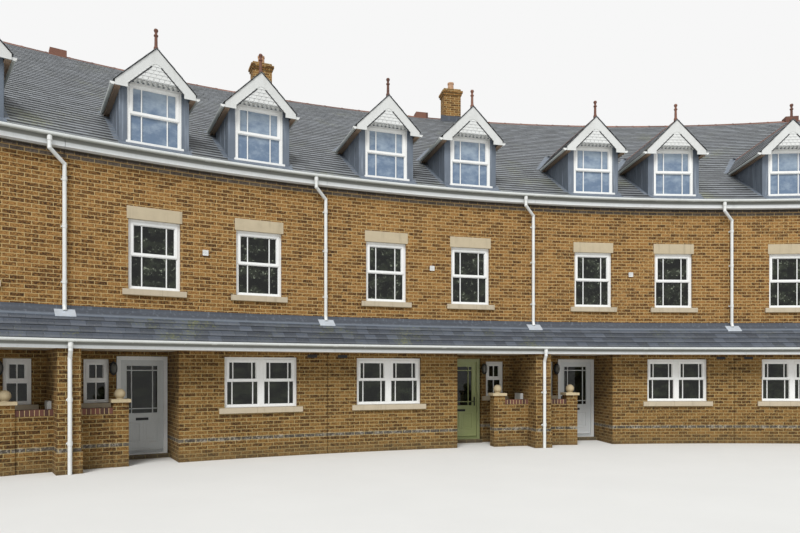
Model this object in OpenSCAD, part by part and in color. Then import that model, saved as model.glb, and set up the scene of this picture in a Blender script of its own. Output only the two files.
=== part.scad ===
// Crescent of five three-storey terraced houses with a continuous lean-to, recessed porches
// and pairs of gabled dormers. The origin is on the ground below the middle of the upper front wall,
// +X runs along the row and +Y runs into the houses. All sizes are in millimetres.

/* [Row] */
// Number of houses
houses = 5; // [1:1:6]
// Frontage of one house, measured along the face of the upper front wall
house_w = 5060; // [4600:10:6500]
// Radius of the face of the upper front wall, about a point in front of the row
crescent_r = 24900; // [18000:100:60000]
// Depth of a house over its front and rear walls
house_d = 14400; // [9000:100:16000]

/* [Walls] */
// Thickness of the outside walls
wall_t = 300; // [200:5:400]
// Thickness of a party wall at half the depth of the house
party_t = 300; // [200:5:400]
// Open movement joint between the brickwork of two houses
movement_joint = 10; // [6:1:16]
// Distance that the ground-floor window wall stands before the upper wall
window_wall_out = 200; // [120:5:250]
// Projection of the corbelled brick course under the eaves
corbel_out = 30; // [15:1:60]
// Height of the corbelled brick course
corbel_h = 75; // [50:1:150]
// Clearance between pieces that meet, so that neither enters the other
fit_gap = 0.3; // [0.2:0.1:0.8]

/* [Levels] */
// Top of the ground floor
ground_floor_z = 75; // [40:1:150]
// Thickness of a timber upper floor with its ceiling
floor_t = 250; // [200:5:350]
// Top of the first floor
first_floor_z = 2700; // [2600:10:3000]
// Top of the attic floor
attic_floor_z = 5300; // [5100:10:5500]
// Underside of the boarded eaves
eaves_z = 5780; // [5650:10:6000]
// Top of the slates at the eaves
slate_edge_z = 5990; // [5950:5:6200]
// Top of the slates at the ridge
ridge_z = 10560; // [9000:10:11500]

/* [Roof] */
// Depth of the roof measured upright, from slates to ceiling
roof_t = 200; // [150:5:300]
// Projection of the boarded eaves
eaves_out = 150; // [100:5:200]
// Overhang of the slates past the eaves board
slate_out = 30; // [10:1:45]
// Thickness of an eaves board
board_t = 20; // [15:1:30]
// Thickness of the slates where they pass the eaves board
slate_lip = 30; // [15:1:40]
// Gap between the roofs of two houses
roof_joint = 6; // [3:1:12]
// Width of a ridge tile down each slope
ridge_leg = 170; // [120:5:250]
// Thickness of a ridge tile
ridge_t = 25; // [15:1:40]
// Length of a ridge vent
vent_l = 420; // [300:10:600]
// Height of a ridge vent over the slates
vent_h = 120; // [80:5:200]

/* [Lean-to] */
// Projection of the lean-to's eaves board before the upper wall
lean_out = 740; // [700:5:900]
// Underside of the lean-to's soffit
soffit_z = 2170; // [2150:5:2300]
// Top of the lean-to's slates at their edge
lean_edge_z = 2330; // [2310:5:2500]
// Top of the lean-to's slates at the upper wall
lean_top_z = 2890; // [2850:5:3000]
// Thickness of the lean-to's roof measured upright
lean_t = 110; // [80:5:160]
// Height that the lead flashing turns up the wall
flashing_up = 75; // [50:5:150]
// Width of the lead flashing on the slates
flashing_w = 180; // [100:5:250]
// Thickness of dressed lead
lead_t = 6; // [3:1:10]

/* [Porch] */
// Distance from the party line to the porch's side wall
porch_w = 1975; // [1900:5:2200]
// Depth of the porch behind the face of the upper wall
porch_d = 800; // [600:10:1000]
// Thickness of the fin wall between two porches
fin_t = 380; // [330:5:450]
// Distance that the fin wall stands before the upper wall
fin_out = 650; // [500:5:680]
// Projection of the fin wall's plinth
plinth_out = 25; // [10:1:40]
// Height of the fin wall's plinth
plinth_h = 375; // [225:75:525]
// Thickness of the low porch wall
low_wall_t = 215; // [150:5:220]
// Height of the low porch wall under its coping
low_wall_h = 990; // [750:5:1050]
// Height of the brick-on-edge coping
coping_h = 110; // [90:5:130]
// Overhang of the coping
coping_out = 5; // [0:1:20]
// Distance from the party line to the post at the end of the low wall
post_u = 790; // [700:5:820]
// Width of the post
post_w = 270; // [230:5:290]
// Height of the post
post_h = 1195; // [1110:5:1250]
// Overhang of the post's stone cap
cap_out = 35; // [15:1:50]
// Thickness of the post's stone cap
cap_t = 60; // [40:1:90]
// Radius of the stone ball
ball_r = 98; // [70:1:110]

/* [Windows] */
// Distance from the party line at the porch to the first upper window's middle
window_u1 = 1570; // [1400:5:1700]
// Distance from the party line at the porch to the second upper window's middle
window_u2 = 3630; // [3500:5:3750]
// Width of an upper window
window_w = 960; // [800:5:1050]
// Height of an upper window
window_h = 1340; // [1100:5:1450]
// Sill level of an upper window
window_z = 3340; // [3250:5:3400]
// Width of a ground-floor window
ground_window_w = 1510; // [1300:5:1600]
// Height of a ground-floor window
ground_window_h = 1030; // [900:5:1080]
// Sill level of a ground-floor window
ground_window_z = 1030; // [950:5:1060]
// Brickwork between a porch window and the door frame beside it
door_pier = 120; // [115:5:200]
// Width of a porch window
porch_window_w = 460; // [400:5:500]
// Height of a porch window
porch_window_h = 860; // [700:5:900]
// Sill level of a porch window
porch_window_z = 1150; // [1100:5:1200]
// Height of a window on the ground floor at the rear
rear_window_h = 1180; // [1000:5:1250]
// Sill level of a window on the ground floor at the rear
rear_window_z = 900; // [850:5:1000]
// Share of a house's width at which the rear windows stand
rear_window_share = 0.27; // [0.22:0.01:0.35]
// Width of a window's outer frame
frame_w = 55; // [40:1:70]
// Depth of a window's outer frame
frame_d = 70; // [60:1:90]
// Depth of the reveal before a window
reveal = 60; // [40:1:90]
// Width of a meeting rail
rail_w = 60; // [40:1:80]
// Width of the mullion between a pair of lights
mullion_w = 120; // [60:5:160]
// Thickness of a sheet of glass
glass_t = 6; // [4:1:24]
// Height of a stone lintel
lintel_h = 240; // [150:5:260]
// Extra length of a lintel at each side of the window
lintel_more = 30; // [20:1:60]
// Depth of a stone lintel in the wall
lintel_d = 100; // [60:5:150]
// Distance that a lintel stands proud of the brickwork
lintel_proud = 12; // [8:1:25]
// Height of a stone sill
sill_h = 110; // [75:5:150]
// Extra length of a sill at each side of the window
sill_more = 110; // [60:5:150]
// Projection of a stone sill
sill_out = 55; // [30:1:80]

/* [Doors] */
// Width over a door frame
door_frame_w = 975; // [900:5:1000]
// Height over a door frame
door_frame_h = 2000; // [1950:5:2050]
// Width of a door frame's jambs and head
jamb_w = 62; // [50:1:75]
// Depth of a door frame
jamb_d = 100; // [80:1:120]
// Depth of the reveal before a door frame
door_reveal = 50; // [30:1:80]
// Width of the stop that the leaf closes against
stop_w = 14; // [10:1:20]
// Thickness of a door leaf
leaf_t = 44; // [40:1:54]
// Clearance round a door leaf
leaf_gap = 5; // [5:0.5:8]
// Height of the step under the leaf
door_sill_h = 25; // [15:1:35]
// Width of a leaf's stiles
stile_w = 112; // [95:1:130]
// Height of the glazing's lower edge over the leaf's foot
glazing_low = 800; // [700:5:900]
// Recess of a door panel
panel_in = 10; // [6:1:14]
// Radius of a hinge knuckle
knuckle_r = 8; // [6:0.5:10]
// Length of half a hinge
knuckle_l = 50; // [35:1:60]
// Running gap between the two halves of a hinge
knuckle_gap = 0.3; // [0.2:0.1:0.5]
// Projection of a door handle
handle_out = 45; // [35:1:60]
// Length of a door handle's lever
handle_l = 110; // [90:5:130]
// Thickness of a door handle
handle_t = 20; // [14:1:24]
// Width of a letter plate
letter_w = 240; // [200:5:260]
// Height of a letter plate
letter_h = 50; // [35:1:60]
// Thickness of a letter plate
letter_t = 6; // [3:1:10]
// Projection of the threshold before the porch's back wall
threshold_out = 90; // [60:5:150]
// Angle by which a door is drawn open
door_open = 0; // [0:1:90]

/* [Dormers] */
// Width of a dormer over its cheeks
dormer_w = 1270; // [1200:5:1400]
// Level of a dormer's ridge
dormer_ridge_z = 7940; // [7800:5:8050]
// Overhang of a dormer's eaves
dormer_eave = 100; // [60:5:150]
// Overhang of a dormer's roof before the wall
dormer_verge = 150; // [100:5:200]
// Depth of a dormer's roof measured upright
dormer_roof_t = 100; // [70:5:130]
// Thickness of a dormer's cheeks and front
dormer_wall_t = 120; // [80:5:150]
// Width of a dormer window
dormer_window_w = 1000; // [900:5:1020]
// Height of a dormer window
dormer_window_h = 1180; // [1050:5:1200]
// Sill level of a dormer window
dormer_window_z = 6110; // [6100:5:6160]
// Width of a barge board, measured upright
barge_h = 240; // [150:5:260]
// Width of the level foot of a barge board
barge_foot_w = 220; // [120:5:230]
// Height of a barge board's foot at its outer end
barge_foot_h = 100; // [60:5:140]
// Half width of the arch under a barge board's peak
barge_arch = 110; // [60:5:160]
// Thickness of a barge board
barge_t = 30; // [20:1:40]
// Height of the gable panel's foot over the head of the dormer window
gable_foot = 12; // [5:1:40]
// Width of a dormer's ridge tile down each slope
dormer_ridge_leg = 90; // [60:5:130]
// Height of a finial over the dormer's ridge
finial_h = 420; // [250:5:450]
// Radius of the ball on a finial
finial_r = 43; // [30:1:50]

/* [Rainwater] */
// Outer radius of a gutter
gutter_r = 57; // [50:1:65]
// Thickness of a gutter
gutter_t = 4; // [2:0.5:5]
// Outer radius of a downpipe
pipe_r = 35; // [30:1:45]
// Gap between a downpipe and its wall
pipe_off = 30; // [20:1:45]
// Extra radius of a bend's socket
socket = 4; // [2:1:8]
// Sideways run of the swan neck under the eaves
neck_side = 255; // [100:5:300]
// Drop of the sloping part of the swan neck
neck_h = 200; // [150:5:250]
// Distance from the eaves down to the foot of the swan neck
neck_drop = 280; // [280:5:400]
// Radius of a dormer's gutter
small_gutter_r = 38; // [30:1:45]

/* [Chimneys and fittings] */
// Width of a chimney along the ridge
chimney_w = 600; // [500:10:800]
// Depth of a chimney across the ridge
chimney_d = 450; // [380:10:600]
// Height of a chimney over the ridge
chimney_h = 1000; // [700:10:1400]
// Projection of each oversailing course
oversail = 30; // [15:1:45]
// Radius of a chimney pot's foot
pot_r = 110; // [90:1:130]
// Height of a chimney pot
pot_h = 280; // [200:5:350]
// Width of a meter box
meter_w = 380; // [300:5:420]
// Height of a meter box
meter_h = 560; // [400:5:600]
// Depth of a meter box
meter_d = 60; // [40:1:90]
// Level of a meter box's foot
meter_z = 675; // [500:5:900]
// Side of a vent cover
vent_cover = 100; // [80:1:150]
// Level of a vent cover's foot
vent_cover_z = 4100; // [4000:5:4500]
// Radius of a lantern
lantern_r = 70; // [50:1:80]
// Height of a lantern
lantern_h = 270; // [200:5:300]
// Level of a lantern's foot
lantern_z = 1695; // [1500:5:1750]
// Gap between a lantern and its wall
lantern_off = 12; // [5:1:30]

/* [Hidden] */

// Fineness of the long curves and of the small round pieces
curve_fn = 720;
round_fn = 32;

// A cut runs this far past the face that it opens
past = 20;

// Colours
brick = "#b98a4e";
brick_dark = "#8a5a3c";
slate = "#5b6470";
stone = "#cdb892";
white = "#f2f2ee";
terracotta = "#9a5240";
lead = "#7d8a99";
plaster = "#cfc8ba";
pane = "#a9c4cf";
black = "#202020";

// Angle of a length along the face of the upper front wall
function ang(s) = s / crescent_r * 180 / PI;
house_a = ang(house_w);
// Direction of party line i, measured from +Y towards +X
function line(i) = (i - houses / 2) * house_a;
// The porch of every second house is at its left, so that porches stand in pairs
function porch_left(i) = i % 2 == 1;
// Direction of a point at distance u from house i's party line at the porch
function at_u(i, u) = porch_left(i) ? line(i) + ang(u) : line(i + 1) - ang(u);
function middle(i) = (line(i) + line(i + 1)) / 2;
// Distance from the party line to the porch window's middle
porch_window_u = porch_w - door_frame_w - door_pier - porch_window_w / 2;
last = houses - 1;
porch_lines = [for (j = [1:2:houses]) j];
// Houses whose doors open, and the two at the ends of the row
door_houses = [1, 2, 3];
end_houses = [for (i = [0:last]) if (len(search(i, door_houses)) == 0) i];

// Half thickness of a party wall as an angle, the same at every depth
party_a = party_t / 2 / (crescent_r + house_d / 2) * 180 / PI;
function face_from(i) = line(i) + (i == 0 ? 2 : 1) * party_a + ang(fit_gap);
function face_to(i) = line(i + 1) - (i == last ? 2 : 1) * party_a - ang(fit_gap);
// Edges of a house's outside wall and of its roof
function wall_from(i, gap) = line(i) + (i == 0 ? 0 : ang(gap / 2));
function wall_to(i, gap) = line(i + 1) - (i == last ? 0 : ang(gap / 2));
function far_u(i) = house_w - ((i == 0 || (i == last && porch_left(i))) ? 0 : movement_joint / 2);
party_u = party_a / ang(1);
function near_u(i) = (i == last && !porch_left(i) ? 2 : 1) * party_u + fit_gap;

// Roof lines: height of the slates and of the ceiling at distance y behind the upper wall's face
ridge_y = house_d / 2;
chimney_z = ridge_z + chimney_h;
edge_y = -eaves_out - board_t - slate_out;
roof_slope = (ridge_z - slate_edge_z) / (ridge_y - edge_y);
function slate_z(y) = slate_edge_z + (y - edge_y) * roof_slope;
function ceiling_z(y) = slate_z(y) - roof_t;
wall_top_z = ceiling_z(0);
board_top_z = slate_z(-eaves_out - board_t) - slate_lip;
soffit_top_z = soffit_z + board_t;
window_wall_y = -window_wall_out;
inner_y = window_wall_y + wall_t + fit_gap;
back_y = porch_d;
rear_y = house_d - wall_t;
floor_low_z = first_floor_z - floor_t;
// Tops of the walls under the upper front wall, and under the first floor
lower_wall_z = soffit_top_z - fit_gap;
inner_wall_z = floor_low_z - fit_gap;
lean_slope = (lean_top_z - lean_edge_z) / (lean_out + board_t + slate_out);
function lean_z(y) = lean_top_z + y * lean_slope;
lean_board_top_z = lean_z(-lean_out) - slate_lip;

// Moves a piece from the middle of the row to direction a, with +Y pointing into the house there
module turn(a) {
    translate([0, -crescent_r, 0])
        rotate([0, 0, -a])
            translate([0, crescent_r, 0])
                children();
}

// Sweeps a profile, drawn as [depth behind the upper wall's face, height], through angle a from
// direction start
module sweep_part(start, a) {
    translate([0, -crescent_r, 0])
        rotate([0, 0, 90 - start])
            rotate_extrude(angle = -a, $fn = curve_fn)
                translate([crescent_r, 0])
                    children();
}

// A sweep over the middle line is drawn in two halves that start on the line, so that the curve
// has a point there
module sweep(a0, a1) {
    if (a0 < 0 && a1 > 0) {
        sweep_part(0, a0) children();
        sweep_part(0, a1) children();
    } else {
        sweep_part(a0, a1 - a0) children();
    }
}

// Sweeps a profile between two distances from house i's party line at the porch
module span(i, u0, u1) {
    a = at_u(i, u0);
    b = at_u(i, u1);
    sweep(min(a, b), max(a, b)) children();
}

module block(y0, y1, z0, z1) {
    translate([y0, z0])
        square([y1 - y0, z1 - z0]);
}

// A straight box about the local X axis
module box(w, y0, y1, z0, z1) {
    translate([-w / 2, y0, z0])
        cube([w, y1 - y0, z1 - z0]);
}

// A round bar between two points
module rod(p, q, r) {
    d = q - p;
    translate(p)
        rotate([0, acos(d[2] / norm(d)), atan2(d[1], d[0])])
            cylinder(h = norm(d), r = r, $fn = round_fn);
}

// The places where each kind of window stands
module at_upper_windows(i) {
    for (u = [window_u1, window_u2])
        turn(at_u(i, u)) children();
}

module at_ground_window(i) {
    turn(at_u(i, window_u2))
        translate([0, window_wall_y, 0]) children();
}

module at_porch_window(i) {
    turn(at_u(i, porch_window_u))
        translate([0, back_y, 0]) children();
}

// The rear wall faces the other way, so the piece is turned round on its outer face
module at_rear_windows(i) {
    for (s = [rear_window_share, 1 - rear_window_share])
        turn(line(i) + s * house_a)
            translate([0, house_d, 0])
                rotate([0, 0, 180]) children();
}

module lintel(w, top) {
    box(w + 2 * lintel_more, -lintel_proud, lintel_d, top, top + lintel_h);
}

module sill(w, z) {
    box(w + 2 * sill_more, -sill_out, reveal + frame_d, z - sill_h, z);
}

// Opening in a wall for a window, its lintel and its sill
module window_cut(w, h, z, with_lintel) {
    box(w, -past, wall_t + past, z, z + h);
    sill(w, z);
    if (with_lintel)
        lintel(w, z + h);
}

// Outer frame of a window, with one rail across or one mullion between its lights
module window_frame(w, h, z, mullion) {
    difference() {
        box(w, reveal, reveal + frame_d, z, z + h);
        box(w - 2 * frame_w, reveal - past, reveal + frame_d + past, z + frame_w, z + h - frame_w);
    }
    if (mullion)
        box(mullion_w, reveal, reveal + frame_d / 2, z + frame_w, z + h - frame_w);
    else
        box(w - 2 * frame_w, reveal, reveal + frame_d / 2, z + (h - rail_w) / 2, z + (h + rail_w) / 2);
}

module window_pane(w, h, z) {
    y = reveal + frame_d / 2;
    box(w - 2 * frame_w, y, y + glass_t, z + frame_w, z + h - frame_w);
}

module ground_slabs() {
    color(plaster)
        for (i = [0:last])
            difference() {
                sweep(face_from(i), face_to(i))
                    block(inner_y, rear_y - fit_gap, 0, ground_floor_z);
                span(i, -party_t, porch_w + wall_t + fit_gap)
                    block(0, back_y + wall_t + fit_gap, -past, ground_floor_z + past);
            }
}

module upper_floors() {
    color(plaster)
        for (i = [0:last])
            sweep(face_from(i), face_to(i)) {
                block(wall_t + fit_gap, rear_y - fit_gap, floor_low_z, first_floor_z);
                block(wall_t + fit_gap, rear_y - fit_gap, attic_floor_z - floor_t, attic_floor_z);
            }
}

// Party walls stand behind the front walls, or behind the fin wall where two porches meet
module party_walls() {
    color(brick)
        for (j = [0:houses]) {
            porch = j % 2 == 1;
            front = porch ? back_y : inner_y;
            step_z = porch ? soffit_top_z : lower_wall_z;
            y0 = wall_t + fit_gap;
            y1 = rear_y - fit_gap;
            top_z = ceiling_z(wall_t) - fit_gap;
            sweep(line(j) - (j == 0 ? 0 : j == houses ? 2 : 1) * party_a,
                  line(j) + (j == houses ? 0 : j == 0 ? 2 : 1) * party_a)
                polygon([
                    [front, 0], [front, step_z], [y0, step_z], [y0, top_z],
                    [ridge_y, ceiling_z(ridge_y) - fit_gap], [y1, top_z], [y1, 0]
                ]);
        }
}

module porch_fins() {
    color(brick)
        for (j = porch_lines) {
            right = j == houses ? 0 : 1;
            sweep(line(j) - ang(fin_t / 2), line(j) + right * ang(fin_t / 2))
                block(-fin_out, back_y - fit_gap, 0, soffit_z - fit_gap);
            sweep(line(j) - ang(fin_t / 2 + plinth_out), line(j) + right * ang(fin_t / 2 + plinth_out))
                block(-fin_out - plinth_out, window_wall_y - fit_gap, 0, plinth_h);
        }
}

module porch_side_walls() {
    color(brick)
        for (i = [0:last])
            span(i, porch_w, porch_w + wall_t)
                polygon([
                    [inner_y, 0], [inner_y, lower_wall_z], [wall_t + fit_gap, lower_wall_z],
                    [wall_t + fit_gap, inner_wall_z], [back_y + wall_t, inner_wall_z], [back_y + wall_t, 0]
                ]);
}

module porch_back_walls() {
    color(brick)
        for (i = [0:last])
            difference() {
                span(i, near_u(i), porch_w - door_frame_w)
                    block(back_y, back_y + wall_t, 0, inner_wall_z);
                at_porch_window(i)
                    window_cut(porch_window_w, porch_window_h, porch_window_z, false);
            }
}

module door_heads() {
    color(brick)
        for (i = [0:last])
            span(i, porch_w - door_frame_w + fit_gap, porch_w - fit_gap)
                block(back_y, back_y + wall_t, ground_floor_z + door_frame_h + fit_gap, inner_wall_z);
}

module window_walls() {
    color(brick)
        for (i = [0:last])
            difference() {
                span(i, porch_w, far_u(i))
                    block(window_wall_y, window_wall_y + wall_t, 0, lower_wall_z);
                at_ground_window(i)
                    window_cut(ground_window_w, ground_window_h, ground_window_z, false);
            }
}

module upper_front_walls() {
    color(brick)
        for (i = [0:last])
            difference() {
                sweep(wall_from(i, movement_joint), wall_to(i, movement_joint)) {
                    block(0, wall_t, soffit_top_z, wall_top_z);
                    block(-corbel_out, 0, eaves_z - corbel_h, eaves_z - fit_gap);
                }
                at_upper_windows(i)
                    window_cut(window_w, window_h, window_z, true);
            }
}

module rear_walls() {
    color(brick)
        for (i = [0:last])
            difference() {
                sweep(wall_from(i, movement_joint), wall_to(i, movement_joint)) {
                    block(rear_y, house_d, 0, wall_top_z);
                    block(house_d, house_d + corbel_out, eaves_z - corbel_h, eaves_z - fit_gap);
                }
                at_rear_windows(i) {
                    window_cut(window_w, window_h, window_z, true);
                    window_cut(window_w, rear_window_h, rear_window_z, true);
                }
            }
}

// Half of the roof's section, with the slates running on over the eaves board
module roof_section() {
    polygon([
        [edge_y, slate_edge_z], [ridge_y, ridge_z], [ridge_y, ceiling_z(ridge_y)], [0, wall_top_z],
        [-eaves_out, board_top_z], [-eaves_out - board_t, board_top_z], [edge_y, slate_edge_z - slate_lip]
    ]);
}

module front_roofs() {
    cheek_back_y = (cheek_top_z - slate_z(0)) / roof_slope;
    color(slate)
        for (i = [0:last])
            difference() {
                sweep(wall_from(i, roof_joint), wall_to(i, roof_joint))
                    roof_section();
                at_upper_windows(i)
                    box(dormer_w, 0, cheek_back_y, wall_top_z - past, dormer_ridge_z);
            }
}

module rear_roofs() {
    color(slate)
        for (i = [0:last])
            sweep(wall_from(i, roof_joint), wall_to(i, roof_joint))
                translate([house_d, 0])
                    mirror([1, 0])
                        roof_section();
}

// An angle ridge tile over two slopes, drawn about its own peak
module ridge_section(leg, slope, t) {
    polygon([
        [0, 0], [leg, -leg * slope], [leg, t - leg * slope], [0, t], [-leg, t - leg * slope],
        [-leg, -leg * slope]
    ]);
}

module ridge_tiles() {
    color(terracotta)
        for (i = [0:last])
            difference() {
                sweep(wall_from(i, roof_joint), wall_to(i, roof_joint))
                    translate([ridge_y, ridge_z])
                        ridge_section(ridge_leg, roof_slope, ridge_t);
                ridge_openings();
            }
}

// Ridge vents: house, share of its width from its left party line. Chimneys stand on party lines.
vents = [[1, 0.115], [2, 0.835], [4, 0.845]];
chimney_lines = [2, 3];

module at_vents() {
    for (v = vents)
        if (v[0] <= last)
            turn(line(v[0]) + v[1] * house_a) children();
}

module at_chimneys() {
    for (j = chimney_lines)
        if (j <= houses)
            turn(line(j)) children();
}

module ridge_openings() {
    at_vents()
        box(vent_l, ridge_y - chimney_d, ridge_y + chimney_d, ridge_z - vent_l, ridge_z + vent_l);
    at_chimneys()
        box(chimney_w, ridge_y - chimney_d, ridge_y + chimney_d, ridge_z - chimney_w, ridge_z + chimney_w);
}

// A piece of width w that stands across the ridge, cut to the two slopes under it. The cut is
// straight, and clears the higher slates that the curve of the roof brings to the front corners.
module saddle(w) {
    foot = 2 * chimney_d;
    rise = fit_gap + w * w / 8 / (crescent_r + ridge_y) * roof_slope;
    difference() {
        children();
        translate([-w, ridge_y, ridge_z + rise])
            rotate([90, 0, 90])
                linear_extrude(2 * w)
                    polygon([
                        [0, 0], [foot, -foot * roof_slope], [0, -2 * foot], [-foot, -foot * roof_slope]
                    ]);
    }
}

module ridge_vents() {
    color(terracotta)
        at_vents()
            saddle(vent_l)
                box(vent_l, ridge_y - ridge_leg, ridge_y + ridge_leg, ridge_z - roof_t, ridge_z + vent_h);
}

module chimneys() {
    course = corbel_h;
    color(brick)
        at_chimneys()
            saddle(chimney_w) {
                box(chimney_w, ridge_y - chimney_d / 2, ridge_y + chimney_d / 2, ridge_z - chimney_d,
                    chimney_z);
                for (k = [1:2])
                    box(chimney_w + 2 * k * oversail, ridge_y - chimney_d / 2 - k * oversail,
                        ridge_y + chimney_d / 2 + k * oversail,
                        chimney_z - (4 - k) * course, chimney_z - course);
            }
}

module chimney_pots() {
    color(terracotta)
        at_chimneys()
            translate([0, ridge_y, chimney_z])
                difference() {
                    union() {
                        cylinder(h = pot_h, r1 = pot_r, r2 = pot_r * 0.85, $fn = round_fn);
                        translate([0, 0, pot_h - pot_r / 2])
                            cylinder(h = pot_r / 2, r = pot_r, $fn = round_fn);
                    }
                    translate([0, 0, pot_r / 2])
                        cylinder(h = pot_h, r = pot_r * 0.65, $fn = round_fn);
                }
}

module lean_to_roofs() {
    y = -lean_out - board_t - slate_out;
    color(slate)
        for (i = [0:last])
            sweep(wall_from(i, roof_joint), wall_to(i, roof_joint))
                polygon([
                    [y, lean_edge_z], [-fit_gap, lean_z(-fit_gap)], [-fit_gap, lean_top_z - lean_t],
                    [-lean_out + board_t, lean_board_top_z], [-lean_out, lean_board_top_z],
                    [y, lean_edge_z - slate_lip]
                ]);
}

module lead_flashings() {
    color(lead)
        for (i = [0:last])
            sweep(wall_from(i, roof_joint), wall_to(i, roof_joint))
                translate([-fit_gap, fit_gap])
                    polygon([
                        [0, lean_top_z], [0, lean_top_z + flashing_up], [-lead_t, lean_top_z + flashing_up],
                        [-lead_t, lean_z(-lead_t) + lead_t], [-flashing_w, lean_z(-flashing_w) + lead_t],
                        [-flashing_w, lean_z(-flashing_w)]
                    ]);
}

module porch_soffits() {
    color(white)
        for (i = [0:last]) {
            sweep(wall_from(i, roof_joint), wall_to(i, roof_joint))
                block(-lean_out + board_t, window_wall_y - fit_gap, soffit_z, lower_wall_z);
            span(i, i == last && !porch_left(i) ? 0 : roof_joint / 2, porch_w - fit_gap)
                block(window_wall_y - board_t, back_y - fit_gap, soffit_z, lower_wall_z);
        }
}

// Boarded eaves: an upright board and the flat one behind it
module eaves_section() {
    block(-eaves_out - board_t, -eaves_out, eaves_z, board_top_z - fit_gap);
    block(-eaves_out, -fit_gap, eaves_z, eaves_z + board_t);
}

module fascia_boards() {
    color(white)
        for (i = [0:last])
            sweep(wall_from(i, roof_joint), wall_to(i, roof_joint)) {
                block(-lean_out, -lean_out + board_t, soffit_z, lean_board_top_z - fit_gap);
                eaves_section();
                translate([house_d, 0])
                    mirror([1, 0])
                        eaves_section();
            }
}

module half_round(r, t) {
    difference() {
        circle(r = r, $fn = round_fn);
        circle(r = r - t, $fn = round_fn);
        translate([-2 * r, 0])
            square([4 * r, 2 * r]);
    }
}

main_gutter_y = -eaves_out - board_t - gutter_r;
main_gutter_z = board_top_z - gutter_t;
lean_gutter_y = -lean_out - gutter_r;
lean_gutter_z = lean_board_top_z - gutter_t;

module gutters() {
    color(white)
        for (i = [0:last])
            sweep(wall_from(i, roof_joint), wall_to(i, roof_joint)) {
                translate([main_gutter_y, main_gutter_z])
                    half_round(gutter_r, gutter_t);
                translate([lean_gutter_y, lean_gutter_z])
                    half_round(gutter_r, gutter_t);
                translate([house_d - main_gutter_y, main_gutter_z])
                    half_round(gutter_r, gutter_t);
            }
}

// A pipe through a list of points, with a socket round each bend
module pipe(points) {
    for (k = [1:len(points) - 1]) {
        rod(points[k - 1], points[k], pipe_r);
        if (k < len(points) - 1)
            translate(points[k])
                sphere(r = pipe_r + socket, $fn = round_fn);
    }
}

// A pipe down a wall's face, with a swan neck from the gutter to its left
module pipe_with_neck(foot_z) {
    y = -pipe_off - pipe_r;
    bend_z = eaves_z - neck_drop;
    pipe([
        [-neck_side, main_gutter_y, main_gutter_z - gutter_r - fit_gap],
        [-neck_side, main_gutter_y, bend_z + neck_h], [0, y, bend_z], [0, y, foot_z]
    ]);
}

// A pipe above the lean-to, from the upper gutter to a shoe over the slates
module upper_pipe() {
    y = -pipe_off - pipe_r;
    foot = lean_z(y) + 3 * pipe_r;
    pipe_with_neck(foot);
    translate([0, y, foot])
        sphere(r = pipe_r + socket, $fn = round_fn);
    rod([0, y, foot], [0, y - pipe_r, lean_z(y - pipe_r) + pipe_r + 2 * lead_t], pipe_r);
    box(pipe_r, y, -fit_gap, foot + pipe_r, foot + 2 * pipe_r);
}

// A pipe down the end of a fin wall, from the lean-to's gutter
module lower_pipe() {
    y = -fin_out - plinth_out - socket - pipe_r;
    pipe([
        [0, lean_gutter_y, lean_gutter_z - gutter_r - fit_gap], [0, lean_gutter_y, soffit_z - pipe_r],
        [0, y, soffit_z - 5 * pipe_r], [0, y, 0]
    ]);
}

module downpipes() {
    color(white) {
        for (j = [1:1:last])
            turn(line(j)) {
                upper_pipe();
                translate([0, house_d, 0])
                    rotate([0, 0, 180])
                        pipe_with_neck(0);
            }
        for (j = porch_lines)
            turn(line(j) - (j == houses ? ang(fin_t / 4) : 0))
                lower_pipe();
    }
}

// Dormers stand over the upper windows. Heights under their 45 degree roof, by distance from the middle
function dormer_under_z(u) = dormer_ridge_z - dormer_roof_t - abs(u);
cheek_top_z = dormer_under_z(dormer_w / 2);

module at_dormers() {
    for (i = [0:last])
        at_upper_windows(i) children();
}

module dormer_fronts() {
    color(lead)
        at_dormers()
            difference() {
                translate([0, dormer_wall_t, 0])
                    rotate([90, 0, 0])
                        linear_extrude(dormer_wall_t)
                            polygon([
                                [-dormer_w / 2, wall_top_z + fit_gap], [dormer_w / 2, wall_top_z + fit_gap],
                                [dormer_w / 2, cheek_top_z], [0, dormer_under_z(0)],
                                [-dormer_w / 2, cheek_top_z]
                            ]);
                box(dormer_window_w, -past, dormer_wall_t + past, dormer_window_z,
                    dormer_window_z + dormer_window_h);
            }
}

module dormer_cheeks() {
    back = (cheek_top_z - slate_z(0)) / roof_slope;
    color(lead)
        at_dormers()
            for (side = [0, 1])
                mirror([side, 0, 0])
                    translate([dormer_w / 2 - dormer_wall_t, 0, 0])
                        rotate([90, 0, 90])
                            linear_extrude(dormer_wall_t)
                                polygon([
                                    [dormer_wall_t, ceiling_z(dormer_wall_t)], [dormer_wall_t, cheek_top_z],
                                    [back, cheek_top_z], [back, ceiling_z(back)]
                                ]);
}

// Cuts a dormer's piece where it meets the slates of the main roof
module over_main_roof() {
    difference() {
        children();
        sweep(-ang(dormer_w), ang(dormer_w))
            translate([0, fit_gap])
                polygon([[0, wall_top_z], [0, slate_z(0)], [ridge_y, ridge_z], [ridge_y, wall_top_z]]);
    }
}

// The dormer's roof runs back until it meets the slates of the main roof
module dormer_roofs() {
    half = dormer_w / 2 + dormer_eave;
    back = (dormer_ridge_z - slate_z(0)) / roof_slope + past;
    color(slate)
        at_dormers()
            over_main_roof()
                translate([0, back, 0])
                    rotate([90, 0, 0])
                        linear_extrude(back + dormer_verge)
                            polygon([
                                [0, dormer_ridge_z], [half, dormer_ridge_z - half],
                                [half, dormer_under_z(half)], [0, dormer_under_z(0)],
                                [-half, dormer_under_z(half)], [-half, dormer_ridge_z - half]
                            ]);
}

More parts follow.
